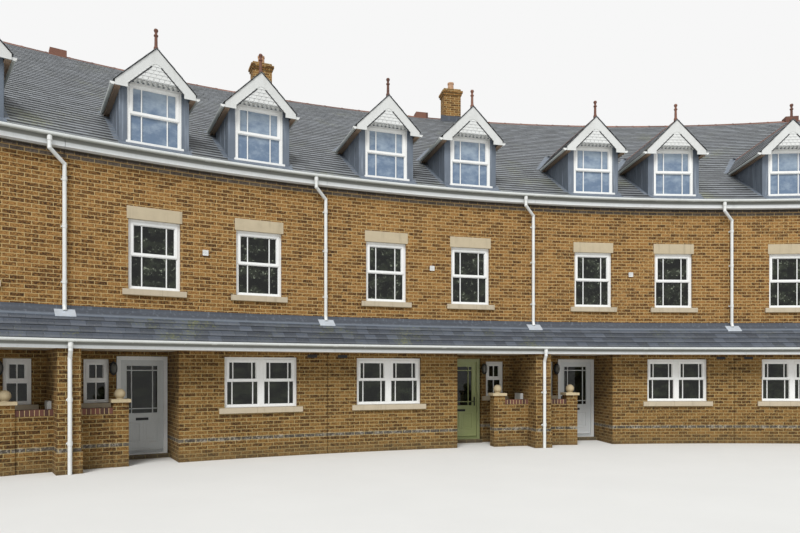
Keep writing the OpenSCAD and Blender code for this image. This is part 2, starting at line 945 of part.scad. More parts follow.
// Barge boards with level feet, and the panel and flat board that close the gable behind them
module barge_boards() {
    half = dormer_w / 2 + dormer_eave;
    top = dormer_ridge_z - half;
    inner = half - barge_foot_w;
    arch_z = dormer_ridge_z - barge_h - barge_arch;
    panel_z = dormer_window_z + dormer_window_h + gable_foot;
    outline = [
        [half, top], [half, top - barge_foot_h], [inner, top - barge_foot_h],
        [inner, dormer_ridge_z - inner - barge_h], [barge_arch, arch_z],
        [barge_arch / 2, arch_z + barge_arch * 0.35]
    ];
    color(white)
        at_dormers() {
            translate([0, -dormer_verge, 0])
                rotate([90, 0, 0])
                    linear_extrude(barge_t)
                        polygon([
                            [0, dormer_ridge_z], each outline, [0, arch_z + barge_arch * 0.5],
                            each [for (k = [len(outline) - 1:-1:0]) [-outline[k].x, outline[k].y]]
                        ]);
            translate([0, board_t - dormer_verge, 0])
                rotate([90, 0, 0])
                    linear_extrude(board_t + barge_t / 2)
                        polygon([
                            [inner, panel_z], [inner, dormer_under_z(inner) - fit_gap],
                            [0, dormer_under_z(0) - fit_gap], [-inner, dormer_under_z(inner) - fit_gap],
                            [-inner, panel_z]
                        ]);
            box(2 * inner, board_t / 2 - dormer_verge, -fit_gap, panel_z, panel_z + board_t);
        }
}

// A turned shaft with a collar and a ball on top
module finial(r, h) {
    rotate_extrude($fn = round_fn)
        polygon([
            [0, 0], [r, 0], [r, 2 * ridge_t], [r * 0.72, 3 * ridge_t], [r * 0.64, h * 0.62],
            [r * 0.95, h * 0.64], [r * 0.95, h * 0.69], [r * 0.62, h * 0.71], [r * 0.55, h - 2.1 * r],
            [r * 0.75, h - 1.6 * r], [r, h - r], [r * 0.75, h - 0.35 * r], [0, h]
        ]);
}

module dormer_ridges() {
    back = (dormer_ridge_z + ridge_t - slate_z(0)) / roof_slope + past;
    color(terracotta)
        at_dormers() {
            over_main_roof()
                translate([0, back, dormer_ridge_z])
                    rotate([90, 0, 0])
                        linear_extrude(back + dormer_verge + barge_t)
                            ridge_section(dormer_ridge_leg, 1, ridge_t);
            translate([0, finial_r - dormer_verge, dormer_ridge_z])
                finial(finial_r, finial_h);
        }
}

module dormer_gutters() {
    half = dormer_w / 2 + dormer_eave;
    z = dormer_under_z(half) + small_gutter_r;
    back = (z - small_gutter_r - slate_z(0)) / roof_slope - 2 * small_gutter_r;
    color(white)
        at_dormers()
            for (side = [0, 1])
                mirror([side, 0, 0])
                    translate([half + small_gutter_r, back, z])
                        rotate([90, 0, 0])
                            linear_extrude(back + dormer_verge)
                                half_round(small_gutter_r, gutter_t);
}

module stone_lintels() {
    color(stone)
        for (i = [0:last]) {
            at_upper_windows(i)
                lintel(window_w, window_z + window_h);
            at_rear_windows(i) {
                lintel(window_w, window_z + window_h);
                lintel(window_w, rear_window_z + rear_window_h);
            }
        }
}

module stone_sills() {
    color(stone)
        for (i = [0:last]) {
            at_upper_windows(i)
                sill(window_w, window_z);
            at_ground_window(i)
                sill(ground_window_w, ground_window_z);
            at_porch_window(i)
                sill(porch_window_w, porch_window_z);
            at_rear_windows(i) {
                sill(window_w, window_z);
                sill(window_w, rear_window_z);
            }
        }
}

module front_windows() {
    color(white)
        for (i = [0:last]) {
            at_upper_windows(i)
                window_frame(window_w, window_h, window_z, false);
            at_ground_window(i)
                window_frame(ground_window_w, ground_window_h, ground_window_z, true);
            at_porch_window(i)
                window_frame(porch_window_w, porch_window_h, porch_window_z, false);
        }
}

// A dormer's window stands almost flush with its lead front
module at_dormer_windows() {
    at_dormers()
        translate([0, -reveal + board_t, 0]) children();
}

module dormer_windows() {
    color(white)
        at_dormer_windows()
            window_frame(dormer_window_w, dormer_window_h, dormer_window_z, false);
}

module rear_windows() {
    color(white)
        for (i = [0:last])
            at_rear_windows(i) {
                window_frame(window_w, window_h, window_z, false);
                window_frame(window_w, rear_window_h, rear_window_z, false);
            }
}

module front_glass() {
    color(pane)
        for (i = [0:last]) {
            at_upper_windows(i)
                window_pane(window_w, window_h, window_z);
            at_ground_window(i)
                window_pane(ground_window_w, ground_window_h, ground_window_z);
            at_porch_window(i)
                window_pane(porch_window_w, porch_window_h, porch_window_z);
        }
    color(pane)
        at_dormer_windows()
            window_pane(dormer_window_w, dormer_window_h, dormer_window_z);
}

module rear_glass() {
    color(pane)
        for (i = [0:last])
            at_rear_windows(i) {
                window_pane(window_w, window_h, window_z);
                window_pane(window_w, rear_window_h, rear_window_z);
            }
}

// Doors, drawn with the hinge side at +X and the frame's outer face at Y = 0.
// The frame of a porch at the right of its house is the mirror image.
leaf_w = door_frame_w - 2 * (jamb_w + leaf_gap);
leaf_low = door_sill_h + leaf_gap;
leaf_h = door_frame_h - jamb_w - leaf_gap - leaf_low;
leaf_y = jamb_d - leaf_t;
hinge_x = leaf_w / 2 + leaf_gap / 2;
hinge_y = jamb_d + knuckle_r;
hinge_levels = [leaf_low + 3.5 * knuckle_l, leaf_low + leaf_h / 2, leaf_low + leaf_h - 5.5 * knuckle_l];
glazing_w = leaf_w - 2 * stile_w;
glazing_h = leaf_h - glazing_low - stile_w;
letter_z = leaf_low + glazing_low - 1.2 * stile_w;

module at_door(i) {
    turn(at_u(i, porch_w - door_frame_w / 2))
        translate([0, back_y + door_reveal, ground_floor_z])
            mirror([porch_left(i) ? 0 : 1, 0, 0]) children();
}

module door_frame() {
    inner = door_frame_w - 2 * jamb_w;
    difference() {
        box(door_frame_w, 0, jamb_d, 0, door_frame_h);
        box(inner - 2 * stop_w, -past, jamb_d + past, door_sill_h, door_frame_h - jamb_w - stop_w);
        box(inner, leaf_y - leaf_gap, jamb_d + past, door_sill_h, door_frame_h - jamb_w);
    }
    for (z = hinge_levels)
        translate([hinge_x, hinge_y, z])
            hinge_half(1);
}

// Half a hinge: a knuckle on the pin's line and the flap behind it, towards the frame or the leaf
module hinge_half(side) {
    cylinder(h = knuckle_l, r = knuckle_r, $fn = round_fn);
    translate([side > 0 ? 0 : -3 * knuckle_r, -knuckle_r, 0])
        cube([3 * knuckle_r, knuckle_r / 2, knuckle_l]);
}

// Turns a leaf and its glass about the hinge pins
module swing() {
    translate([hinge_x, hinge_y, 0])
        rotate([0, 0, -door_open])
            translate([-hinge_x, -hinge_y, 0]) children();
}

module door_leaf() {
    difference() {
        box(leaf_w, leaf_y, jamb_d, leaf_low, leaf_low + leaf_h);
        box(glazing_w, leaf_y - past, jamb_d + past, leaf_low + glazing_low,
            leaf_low + glazing_low + glazing_h);
        for (x = [-1, 1], y = [leaf_y - past, jamb_d - panel_in])
            translate([x * (glazing_w + stile_w / 2) / 4, y, 0])
                box((glazing_w - stile_w / 2) / 2, 0, past + panel_in, leaf_low + 2 * stile_w,
                    leaf_low + glazing_low - 1.6 * stile_w);
    }
    for (z = hinge_levels)
        translate([hinge_x, hinge_y, z + knuckle_l + knuckle_gap])
            hinge_half(-1);
    // Lever handle and letter plate
    translate([stile_w / 2 - leaf_w / 2, leaf_y, leaf_low + glazing_low + stile_w]) {
        rotate([90, 0, 0])
            cylinder(h = handle_out, r = handle_t / 2, $fn = round_fn);
        translate([-handle_t / 2, -handle_out - handle_t / 2, -handle_t / 2])
            cube([handle_l, handle_t, handle_t]);
    }
    box(letter_w, leaf_y - letter_t, leaf_y, letter_z, letter_z + letter_h);
}

module door_pane() {
    y = leaf_y + (leaf_t - glass_t) / 2;
    box(glazing_w, y, y + glass_t, leaf_low + glazing_low, leaf_low + glazing_low + glazing_h);
}

module door_frames() {
    color(white)
        for (i = [0:last])
            at_door(i) door_frame();
}

module door_thresholds() {
    color(brick_dark)
        for (i = [0:last])
            span(i, porch_w - door_frame_w + fit_gap, porch_w - fit_gap)
                block(back_y - threshold_out, back_y + wall_t, 0, ground_floor_z - fit_gap);
}

module front_door_2() {
    color("#dfe1df")
        at_door(door_houses[0]) swing() door_leaf();
}

module front_door_3() {
    color("#7f9a72")
        at_door(door_houses[1]) swing() door_leaf();
}

module front_door_4() {
    color("#e8e8e6")
        at_door(door_houses[2]) swing() door_leaf();
}

module door_glass_2() {
    color(pane)
        at_door(door_houses[0]) swing() door_pane();
}

module door_glass_3() {
    color(pane)
        at_door(door_houses[1]) swing() door_pane();
}

module door_glass_4() {
    color(pane)
        at_door(door_houses[2]) swing() door_pane();
}

module end_doors() {
    color(white)
        for (i = end_houses)
            at_door(i) door_leaf();
}

module end_door_glass() {
    color(pane)
        for (i = end_houses)
            at_door(i) door_pane();
}

module low_walls() {
    color(brick)
        for (i = [0:last]) {
            span(i, fin_t / 2 + fit_gap, post_u)
                block(window_wall_y, window_wall_y + low_wall_t, 0, low_wall_h);
            at_post(i)
                box(post_w, -post_w / 2, post_w / 2, 0, post_h);
        }
}

module at_post(i) {
    turn(at_u(i, post_u + post_w / 2))
        translate([0, window_wall_y + low_wall_t / 2, 0]) children();
}

module wall_copings() {
    color(brick_dark)
        for (i = [0:last])
            difference() {
                span(i, fin_t / 2 + fit_gap, post_u)
                    block(window_wall_y - coping_out, window_wall_y + low_wall_t + coping_out,
                          low_wall_h, low_wall_h + coping_h);
                at_post(i)
                    box(post_w, -post_w / 2, post_w / 2, 0, post_h);
            }
}

module post_caps() {
    color(stone)
        for (i = [0:last])
            at_post(i) {
                side = post_w + 2 * cap_out;
                box(side, -side / 2, side / 2, post_h, post_h + cap_t);
                translate([0, 0, post_h + cap_t])
                    cylinder(h = ball_r / 2, r1 = ball_r * 0.7, r2 = ball_r * 0.5, $fn = round_fn);
                translate([0, 0, post_h + cap_t + ball_r])
                    sphere(r = ball_r, $fn = round_fn);
            }
}

// A meter box hangs on the fin wall's face in each porch
module meter_boxes() {
    color(white)
        for (i = [0:last])
            turn(at_u(i, fin_t / 2 + fit_gap))
                mirror([porch_left(i) ? 0 : 1, 0, 0])
                    translate([0, (back_y + window_wall_y - meter_w) / 2, meter_z])
                        cube([meter_d, meter_w, meter_h]);
}

module vent_covers() {
    color(white)
        for (i = [0:last])
            sweep(middle(i) - ang(vent_cover / 2), middle(i) + ang(vent_cover / 2))
                block(-board_t, -fit_gap, vent_cover_z, vent_cover_z + vent_cover);
}

module lanterns() {
    u = (porch_window_u + porch_window_w / 2 + porch_w - door_frame_w) / 2;
    color(black)
        for (i = [0:last])
            turn(at_u(i, u))
                translate([0, back_y - lantern_r - lantern_off, lantern_z]) {
                    cylinder(h = lantern_h, r = lantern_r, $fn = round_fn);
                    box(lantern_r, 0, lantern_r + lantern_off - fit_gap, lantern_h / 4, lantern_h * 3 / 4);
                }
}

ground_slabs();
upper_floors();
party_walls();
porch_fins();
porch_side_walls();
porch_back_walls();
door_heads();
window_walls();
upper_front_walls();
rear_walls();
front_roofs();
rear_roofs();
ridge_tiles();
ridge_vents();
chimneys();
chimney_pots();
lean_to_roofs();
lead_flashings();
porch_soffits();
fascia_boards();
gutters();
downpipes();
dormer_fronts();
dormer_cheeks();
dormer_roofs();
barge_boards();
dormer_ridges();
dormer_gutters();
stone_lintels();
stone_sills();
front_windows();
dormer_windows();
rear_windows();
front_glass();
rear_glass();
door_frames();
door_thresholds();
front_door_2();
front_door_3();
front_door_4();
door_glass_2();
door_glass_3();
door_glass_4();
end_doors();
end_door_glass();
low_walls();
wall_copings();
post_caps();
meter_boxes();
vent_covers();
lanterns();
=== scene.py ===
import math
import random

import bpy
from mathutils import Matrix, Vector


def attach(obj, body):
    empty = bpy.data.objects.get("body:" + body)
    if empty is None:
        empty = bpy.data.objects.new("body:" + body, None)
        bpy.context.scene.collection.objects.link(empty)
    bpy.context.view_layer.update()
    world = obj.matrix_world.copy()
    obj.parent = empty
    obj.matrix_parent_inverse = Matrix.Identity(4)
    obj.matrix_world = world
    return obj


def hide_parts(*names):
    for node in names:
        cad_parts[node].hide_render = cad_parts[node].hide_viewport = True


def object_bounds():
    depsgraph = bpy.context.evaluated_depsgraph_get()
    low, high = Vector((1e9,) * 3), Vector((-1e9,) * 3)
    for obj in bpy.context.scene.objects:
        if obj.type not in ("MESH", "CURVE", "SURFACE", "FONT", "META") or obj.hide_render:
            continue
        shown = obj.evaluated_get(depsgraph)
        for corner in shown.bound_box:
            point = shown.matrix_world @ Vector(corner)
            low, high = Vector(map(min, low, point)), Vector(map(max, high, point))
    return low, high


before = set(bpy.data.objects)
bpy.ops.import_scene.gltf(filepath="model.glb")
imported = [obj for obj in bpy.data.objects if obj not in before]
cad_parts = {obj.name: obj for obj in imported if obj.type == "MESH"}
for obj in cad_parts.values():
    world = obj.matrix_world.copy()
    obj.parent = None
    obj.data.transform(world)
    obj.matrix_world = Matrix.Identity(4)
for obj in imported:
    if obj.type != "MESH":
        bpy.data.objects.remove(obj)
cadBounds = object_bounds()
random.seed(11)

# The row's plan: houses stand side by side on an arc about a point in front of them
row = {
    "houses": 5,
    "frontage": 5.06,
    "radius": 24.9,     # of the upper front wall's face
    "depth": 14.4,
    "partyHalf": 0.15,
}
porch = {"back": 0.8, "windowWall": -0.2, "doorMiddle": 1.4875, "floor": 0.075}
mirrorX = Matrix.Scale(-1, 4, (1, 0, 0))
bothSides = (Matrix(), mirrorX)
allHouses = range(row["houses"])
rowHalf = row["houses"] * row["frontage"] / 2


def shifted(x, y, z):
    return Matrix.Translation((x, y, z))


def turned(angle, axis):
    return Matrix.Rotation(angle, 4, axis)


def partyLine(i):  # direction of a party line, in radians from +Y towards +X
    return (i - row["houses"] / 2) * row["frontage"] / row["radius"]


def porchAtLeft(i):
    return i % 2 == 1


def directionAt(i, u):  # direction of a point at distance u from the house's party line at its porch
    if porchAtLeft(i):
        return partyLine(i) + u / row["radius"]
    return partyLine(i + 1) - u / row["radius"]


def standAt(direction, y=0.0, z=0.0):
    return shifted(0, -row["radius"], 0) @ turned(-direction, "Z") @ shifted(0, row["radius"] + y, z)


def standBehind(direction):  # on the rear wall's face, facing away from the front
    return standAt(direction, row["depth"]) @ turned(math.pi, "Z")


def porchPlace(i, u=0.0, y=0.0, z=0.0):  # at distance u from the porch's party line, x running away from it
    place = standAt(directionAt(i, u), y, z)
    return place if porchAtLeft(i) else place @ mirrorX


# Modelling helpers

def deselect():
    if bpy.context.object and bpy.context.object.mode != "OBJECT":
        bpy.ops.object.mode_set(mode="OBJECT")
    bpy.ops.object.select_all(action="DESELECT")


def activate(piece):
    deselect()
    piece.select_set(True)
    bpy.context.view_layer.objects.active = piece


def editAll(piece):  # in edit mode, with all of the piece selected
    activate(piece)
    bpy.ops.object.mode_set(mode="EDIT")
    bpy.ops.mesh.select_all(action="SELECT")


def applyPlace(piece):
    activate(piece)
    bpy.ops.object.transform_apply(location=True, rotation=True, scale=True)
    return piece


def applyModifier(piece, kind, **settings):
    activate(piece)
    modifier = piece.modifiers.new(kind.title(), kind)
    for key, value in settings.items():
        setattr(modifier, key, value)
    bpy.ops.object.modifier_apply(modifier=modifier.name)
    return piece


def bevelled(piece, width):
    return applyModifier(piece, "BEVEL", width=width, segments=1) if width else piece


def moved(piece, place):  # a mirrored piece has its faces turned outwards again
    piece.data.transform(place)
    if place.determinant() < 0:
        piece.data.flip_normals()
    return piece


def block(x, y, z, bevel=0.0):  # each of x, y, z is (low, high)
    deselect()
    bpy.ops.mesh.primitive_cube_add(size=1, location=[(a + b) / 2 for a, b in (x, y, z)])
    piece = bpy.context.object
    piece.scale = [b - a for a, b in (x, y, z)]
    return bevelled(applyPlace(piece), bevel)


def bar(middle, width, y, z, bevel=0.0):
    return block((middle - width / 2, middle + width / 2), y, z, bevel)


def tube(radius, low, high, axis="Z", place=(0, 0, 0), sides=16, topRadius=None):
    deselect()
    bpy.ops.mesh.primitive_cone_add(vertices=sides, radius1=radius,
                                    radius2=radius if topRadius is None else topRadius,
                                    depth=high - low, location=(0, 0, (low + high) / 2))
    lean = {"Z": Matrix(), "Y": turned(-math.pi / 2, "X"), "X": turned(math.pi / 2, "Y")}[axis]
    return moved(applyPlace(bpy.context.object), shifted(*place) @ lean)


def deleteVertices(piece, unwanted):
    editAll(piece)
    bpy.ops.mesh.select_mode(type="VERT")
    bpy.ops.mesh.select_all(action="DESELECT")
    bpy.ops.object.mode_set(mode="OBJECT")
    for vertex in piece.data.vertices:
        vertex.select = unwanted(vertex)
    bpy.ops.object.mode_set(mode="EDIT")
    bpy.ops.mesh.delete(type="VERT")
    bpy.ops.object.mode_set(mode="OBJECT")
    return piece


def ring(width, z, member, y, middle=0.0, bevel=0.0):  # a rectangular frame in the plane of a wall
    deselect()
    bpy.ops.mesh.primitive_plane_add(size=1, rotation=(math.pi / 2, 0, 0),
                                     location=(middle, y[1], (z[0] + z[1]) / 2))
    piece = bpy.context.object
    piece.scale = (width, z[1] - z[0], 1)
    editAll(applyPlace(piece))
    bpy.ops.mesh.inset(thickness=member, depth=0)
    bpy.ops.mesh.delete(type="FACE")
    bpy.ops.mesh.select_all(action="SELECT")
    bpy.ops.mesh.extrude_region_move(TRANSFORM_OT_translate={"value": (0, y[0] - y[1], 0)})
    bpy.ops.mesh.select_all(action="SELECT")
    bpy.ops.mesh.normals_make_consistent(inside=False)
    bpy.ops.object.mode_set(mode="OBJECT")
    return bevelled(piece, bevel)


def strip(profile, x, steps, thickness=0.0):  # a sheet extruded along a profile of (y, z) points
    deselect()
    (ya, za), (yb, zb) = profile[0], profile[1]
    bpy.ops.mesh.primitive_grid_add(x_subdivisions=steps, y_subdivisions=1, size=1,
                                    rotation=(math.atan2(zb - za, yb - ya), 0, 0),
                                    location=((x[0] + x[1]) / 2, (ya + yb) / 2, (za + zb) / 2))
    piece = bpy.context.object
    piece.scale = (x[1] - x[0], math.hypot(yb - ya, zb - za), 1)
    applyPlace(piece)
    for (yFrom, zFrom), (yTo, zTo) in zip(profile[1:], profile[2:]):
        for vertex in piece.data.vertices:
            vertex.select = abs(vertex.co.y - yFrom) < 1e-5 and abs(vertex.co.z - zFrom) < 1e-5
        for edge in piece.data.edges:
            edge.select = all(piece.data.vertices[v].select for v in edge.vertices)
        for face in piece.data.polygons:
            face.select = False
        bpy.ops.object.mode_set(mode="EDIT")
        bpy.ops.mesh.select_mode(type="EDGE")
        bpy.ops.mesh.extrude_edges_move(TRANSFORM_OT_translate={"value": (0, yTo - yFrom, zTo - zFrom)})
        bpy.ops.object.mode_set(mode="OBJECT")
    if thickness:
        applyModifier(piece, "SOLIDIFY", thickness=thickness, offset=1)
    return piece


def joined(name, pieces):
    deselect()
    for piece in pieces:
        piece.select_set(True)
    bpy.context.view_layer.objects.active = pieces[0]
    if len(pieces) > 1:
        bpy.ops.object.join()
    pieces[0].name = name
    pieces[0].data.name = name
    return pieces[0]


def spread(name, model, places):  # one copy of the model, with its own mesh, at each place
    made = []
    for place in places:
        twin = model.copy()
        twin.data = model.data.copy()
        bpy.context.scene.collection.objects.link(twin)
        made.append(moved(twin, place))
    bpy.data.objects.remove(model)
    return joined(name, made)


def bendToRow(piece):  # x is a length along the upper wall's face until this bends it to the arc
    across = [vertex.co.x for vertex in piece.data.vertices]
    return applyModifier(piece, "SIMPLE_DEFORM", deform_method="BEND", deform_axis="Z",
                         angle=(min(across) - max(across)) / row["radius"])


def finished(piece, slot, material, body="row", replaced=(), smooth=0.0):
    piece.data.materials.clear()
    piece.data.materials.append(material)
    if smooth:
        activate(piece)
        bpy.ops.object.shade_smooth_by_angle(angle=math.radians(smooth))
    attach(piece, body)
    if replaced:
        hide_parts(*replaced)
    return piece


def fit(name, model, places, slot, material, **kept):
    return finished(spread(name, model, places), slot, material, **kept)


def dress(material, nodes):  # a CAD node keeps its shape and takes a new finish
    for name in nodes:
        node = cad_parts[name]
        if not node.material_slots:
            node.data.materials.append(material)
        for materialSlot in node.material_slots:
            materialSlot.material = material


# Shader maths: a wire is one socket, and sums on wires add Math nodes

def mathMethod(operation):
    return lambda wire, *others: wire.math(operation, *others)


class Wire:
    def __init__(self, finish, socket):
        self.finish, self.socket = finish, socket

    def math(self, operation, *others, **settings):
        return self.finish.add("Math", {"operation": operation, **settings}, [self, *others])

    def __rsub__(self, other):
        return self.finish.add("Math", {"operation": "SUBTRACT"}, [other, self])

    def held(self):  # between 0 and 1
        return self.math("ADD", 0.0, use_clamp=True)

    __add__ = __radd__ = mathMethod("ADD")
    __mul__ = __rmul__ = mathMethod("MULTIPLY")
    __sub__ = mathMethod("SUBTRACT")
    __truediv__ = mathMethod("DIVIDE")
    floor = mathMethod("FLOOR")
    fract = mathMethod("FRACT")
    size = mathMethod("ABSOLUTE")
    least = mathMethod("MINIMUM")
    most = mathMethod("MAXIMUM")
    above = mathMethod("GREATER_THAN")
    under = mathMethod("LESS_THAN")


def rgb(code):  # a colour as it is written on a screen, for a shader's socket
    parts = [int(code[k:k + 2], 16) / 255 for k in (0, 2, 4)]
    return tuple(p / 12.92 if p <= 0.04045 else ((p + 0.055) / 1.055) ** 2.4 for p in parts)


def shaded(code, share):
    return tuple(min(1.0, part * share) for part in rgb(code))


class Finish:
    def __init__(self, name):
        self.material = bpy.data.materials.new(name)
        self.material.use_nodes = True
        self.tree = self.material.node_tree
        self.tree.nodes.clear()
        self.surface = self.tree.nodes.new("ShaderNodeBsdfPrincipled")
        output = self.tree.nodes.new("ShaderNodeOutputMaterial")
        self.tree.links.new(self.surface.outputs[0], output.inputs[0])

    def feed(self, socket, value):  # with a wire, a colour's code or parts, or a plain value
        if isinstance(value, Wire):
            self.tree.links.new(value.socket, socket)
        elif socket.type == "RGBA":
            socket.default_value = (*(rgb(value) if isinstance(value, str) else value), 1)
        else:
            socket.default_value = value

    def add(self, kind, settings=None, sockets=(), out=0):
        node = self.tree.nodes.new("ShaderNode" + kind)
        for key, value in (settings or {}).items():
            if key == "stops":
                ramp = node.color_ramp
                while len(ramp.elements) < len(value):
                    ramp.elements.new(0.5)
                for element, (place, code) in zip(ramp.elements, value.items()):
                    element.position = place
                    element.color = (*rgb(code), 1)
            else:
                setattr(node, key, value)
        for key, value in sockets.items() if isinstance(sockets, dict) else enumerate(sockets):
            self.feed(node.inputs[key], value)
        return Wire(self, node.outputs[out])

    def split(self, vector):
        outputs = self.add("SeparateXYZ", {}, [vector]).socket.node.outputs
        return [Wire(self, outputs[k]) for k in range(3)]

    def place(self):
        return self.add("TexCoord", out=3)

    def placeAndHeight(self):
        place = self.place()
        return place, self.split(place)[2]

    def facing(self):
        return self.split(self.add("NewGeometry", out=3))

    def attribute(self, name):
        return self.add("Attribute", {"attribute_name": name}, out=2)

    def noise(self, place, scale, detail=3.0, roughness=0.55):
        return self.add("TexNoise", {},
                        {"Vector": place, "Scale": scale, "Detail": detail, "Roughness": roughness})

    def streaks(self, place, across, up, scale=1.0, detail=3.0, roughness=0.55):  # noise drawn out upright
        drawn = self.add("VectorMath", {"operation": "MULTIPLY"}, [place, (across, across, up)])
        return self.noise(drawn, scale, detail, roughness)

    def step(self, value, low, high):  # 0 below low, 1 above high
        return self.add("MapRange", {"interpolation_type": "SMOOTHSTEP"},
                        {"Value": value, "From Min": low, "From Max": high})

    def ramp(self, value, stops):
        return self.add("ValToRGB", {"stops": stops}, [value])

    def mix(self, factor, first, second, blend="MIX"):
        return self.add("Mix", {"data_type": "RGBA", "blend_type": blend},
                        {0: factor, 6: first, 7: second}, 2)

    def bump(self, height, distance, strength=1.0):
        return self.add("Bump", {}, {"Height": height, "Distance": distance, "Strength": strength})

    def set(self, **sockets):
        for key, value in sockets.items():
            self.feed(self.surface.inputs[key.replace("_", " ")], value)
        return self.material


def arcPlace(finish):  # place, length along the arc, depth behind the upper wall, height, outward direction
    place = finish.place()
    x, y, z = finish.split(place)
    out = y + row["radius"]
    along = finish.add("Math", {"operation": "ARCTAN2"}, [x, out]) * row["radius"]
    reach = (x * x + out * out).math("SQRT")
    return place, along, reach - row["radius"], z, x / reach, out / reach


print("helpers are ready")


# Finishes

brickwork = {
    "length": 0.225, "course": 0.075, "jointEdge": 0.0042, "jointSoft": 0.003,
    "clay": {0.0: "33220f", 0.2: "573b1d", 0.42: "72512a", 0.62: "8c6636", 0.82: "b08a52", 0.93: "986633",
             1.0: "6a4429"},
    "dark": {0.0: "453d37", 0.5: "625850", 1.0: "7d7268"},
    "edge": {0.0: "3a2722", 0.5: "57392f", 1.0: "74493b"},
    "mortar": "cdb582", "lime": "cdc5b5", "eavesShadow": "161412", "earth": "5d5138",
    "stain": (0.62, 0.55, 0.45),
    "leanToShadeAndDamp": (0.78, 0.82, 0.8),      # painted shade on the walls under the lean-to, with some damp weathering
    "leanToShadeTop": (2.1, 2.5),
    "eavesShadowFoot": (5.715, 5.735),
    "bandCourse": 5,      # counted up from the ground
    "eavesCourse": 75,    # from here up the bricks are dark, partly standing in for the shade under the eaves
}


def brickFinish(name, darkOnly=False, band=False, darkTop=True):
    f = Finish(name)
    place, along, depth, z, outX, outY = arcPlace(f)
    nx, ny, nz = f.facing()
    level = nz.size().above(0.7)
    front = (nx * outX + ny * outY).size().above(0.7).most(level)
    rough = f.noise(place, 9.0, 4.0)
    wobble = (rough - 0.5) * 0.006
    across = along * front + depth * (1 - front) + wobble
    up = z * (1 - level) + depth * level + wobble * 0.5
    course = up / brickwork["course"] + 0.001
    courseNumber = course.floor()
    brick = across / brickwork["length"] + (courseNumber * 0.5).fract()
    spot = f.add("CombineXYZ", {}, [brick.floor(), courseNumber, front])
    chance = f.add("TexWhiteNoise", {"noise_dimensions": "3D"}, {"Vector": spot})
    inBrick = brick.fract() * brickwork["length"]
    inCourse = course.fract() * brickwork["course"]
    edge = inBrick.least(brickwork["length"] - inBrick).least(inCourse).least(brickwork["course"] - inCourse)
    grain = f.noise(place, 120.0, 3.0, 0.7)
    speck = f.noise(place, 30.0, 3.0, 0.6)
    worn = edge + (grain - 0.5) * 0.004
    face = f.step(worn, brickwork["jointEdge"], brickwork["jointEdge"] + brickwork["jointSoft"])
    tone = (chance * 0.5 + rough * 0.25 + (speck - 0.5) * 2.0 + (grain - 0.5) * 0.7 + 0.15).held()
    dark = f.ramp(tone, brickwork["dark"])
    clay = dark if darkOnly else f.ramp(tone, brickwork["clay"])
    # dark courses at the wall's top, partly painted shade under the eaves
    if darkTop and not darkOnly:
        flank = depth.above(row["partyHalf"] * 2) * (1 - depth.above(row["depth"] - row["partyHalf"] * 2))
        top = courseNumber.above(brickwork["eavesCourse"] - 0.5) * (1 - flank)
        if band:
            top = top.most((courseNumber - brickwork["bandCourse"]).size().under(0.5))
        clay = f.mix(top, clay, dark)
    mortar = f.mix(rough, shaded(brickwork["mortar"], 0.8), brickwork["mortar"])
    colour = f.mix(face, mortar, clay)
    cloud = f.noise(place, 0.55, 4.0, 0.6)
    stain = (cloud * 0.45 + f.streaks(place, 3.0, 0.35, 1.6) * 0.35).held()
    colour = f.mix(stain, colour, brickwork["stain"], "MULTIPLY")
    # painted shade, with some damp weathering, low on the front walls under the lean-to
    low = (1 - f.step(z, *brickwork["leanToShadeTop"])) * (1 - f.step(depth, 0.85, 1.6))
    colour = f.mix(low, colour, brickwork["leanToShadeAndDamp"], "MULTIPLY")
    if band:  # pale salts about the dark course
        near = 1 - f.step((z - (brickwork["bandCourse"] + 0.5) * brickwork["course"]).size(), 0.03, 0.065)
        colour = f.mix(near * f.step(rough * 0.5 + speck * 0.5, 0.49, 0.6) * 0.28, colour, brickwork["lime"])
    if darkTop:  # painted shadow under the eaves, on the wall's top course
        eaves = f.step(z, *brickwork["eavesShadowFoot"]) * (1 - depth.above(row["partyHalf"]))
        colour = f.mix(eaves * 0.75, colour, brickwork["eavesShadow"])
    foot = 1 - f.step(z + (rough - 0.5) * 0.3, 0.0, 0.35)
    colour = f.mix(foot * 0.45, colour, brickwork["earth"])
    height = face * 0.75 + grain * 0.25 + chance * 0.15
    return f.set(Base_Color=colour, Roughness=0.82 + grain * 0.12, Specular_IOR_Level=0.3,
                 Normal=f.bump(height, 0.006, 0.8))


def edgeFinish(name):  # single dark bricks, toned by the mesh, over pale mortar
    f = Finish(name)
    place = f.place()
    grain = f.noise(place, 110.0, 3.0, 0.7)
    patches = f.noise(place, 9.0, 4.0)
    tone = (f.attribute("tone") * 0.7 + patches * 0.3 + (grain - 0.5) * 0.3).held()
    mortar = f.mix(grain, shaded(brickwork["mortar"], 0.7), brickwork["mortar"])
    return f.set(Base_Color=f.mix(f.attribute("bed"), f.ramp(tone, brickwork["edge"]), mortar),
                 Roughness=0.8 + grain * 0.15, Normal=f.bump(grain, 0.003, 0.6))


slateTones = {
    "stone": {0.0: "2a2d30", 0.3: "43474b", 0.6: "5e6267", 0.85: "7e8286", 1.0: "716f79"},
    "leanStone": {0.0: "262a31", 0.3: "3c424b", 0.6: "555c67", 0.85: "747c88", 1.0: "666672"},
    # tail is a painted highlight along each slate's lower edge
    "tail": "b4b7b8", "shade": "17191b", "moss": "6c6f3e", "lichen": "a9aa98",
    # the height of the lowest slate's foot, and the rise of a course
    "main": (5.99, 0.10508), "lean": (2.33, 0.11567), "dormer": (7.185, 0.14142),
}


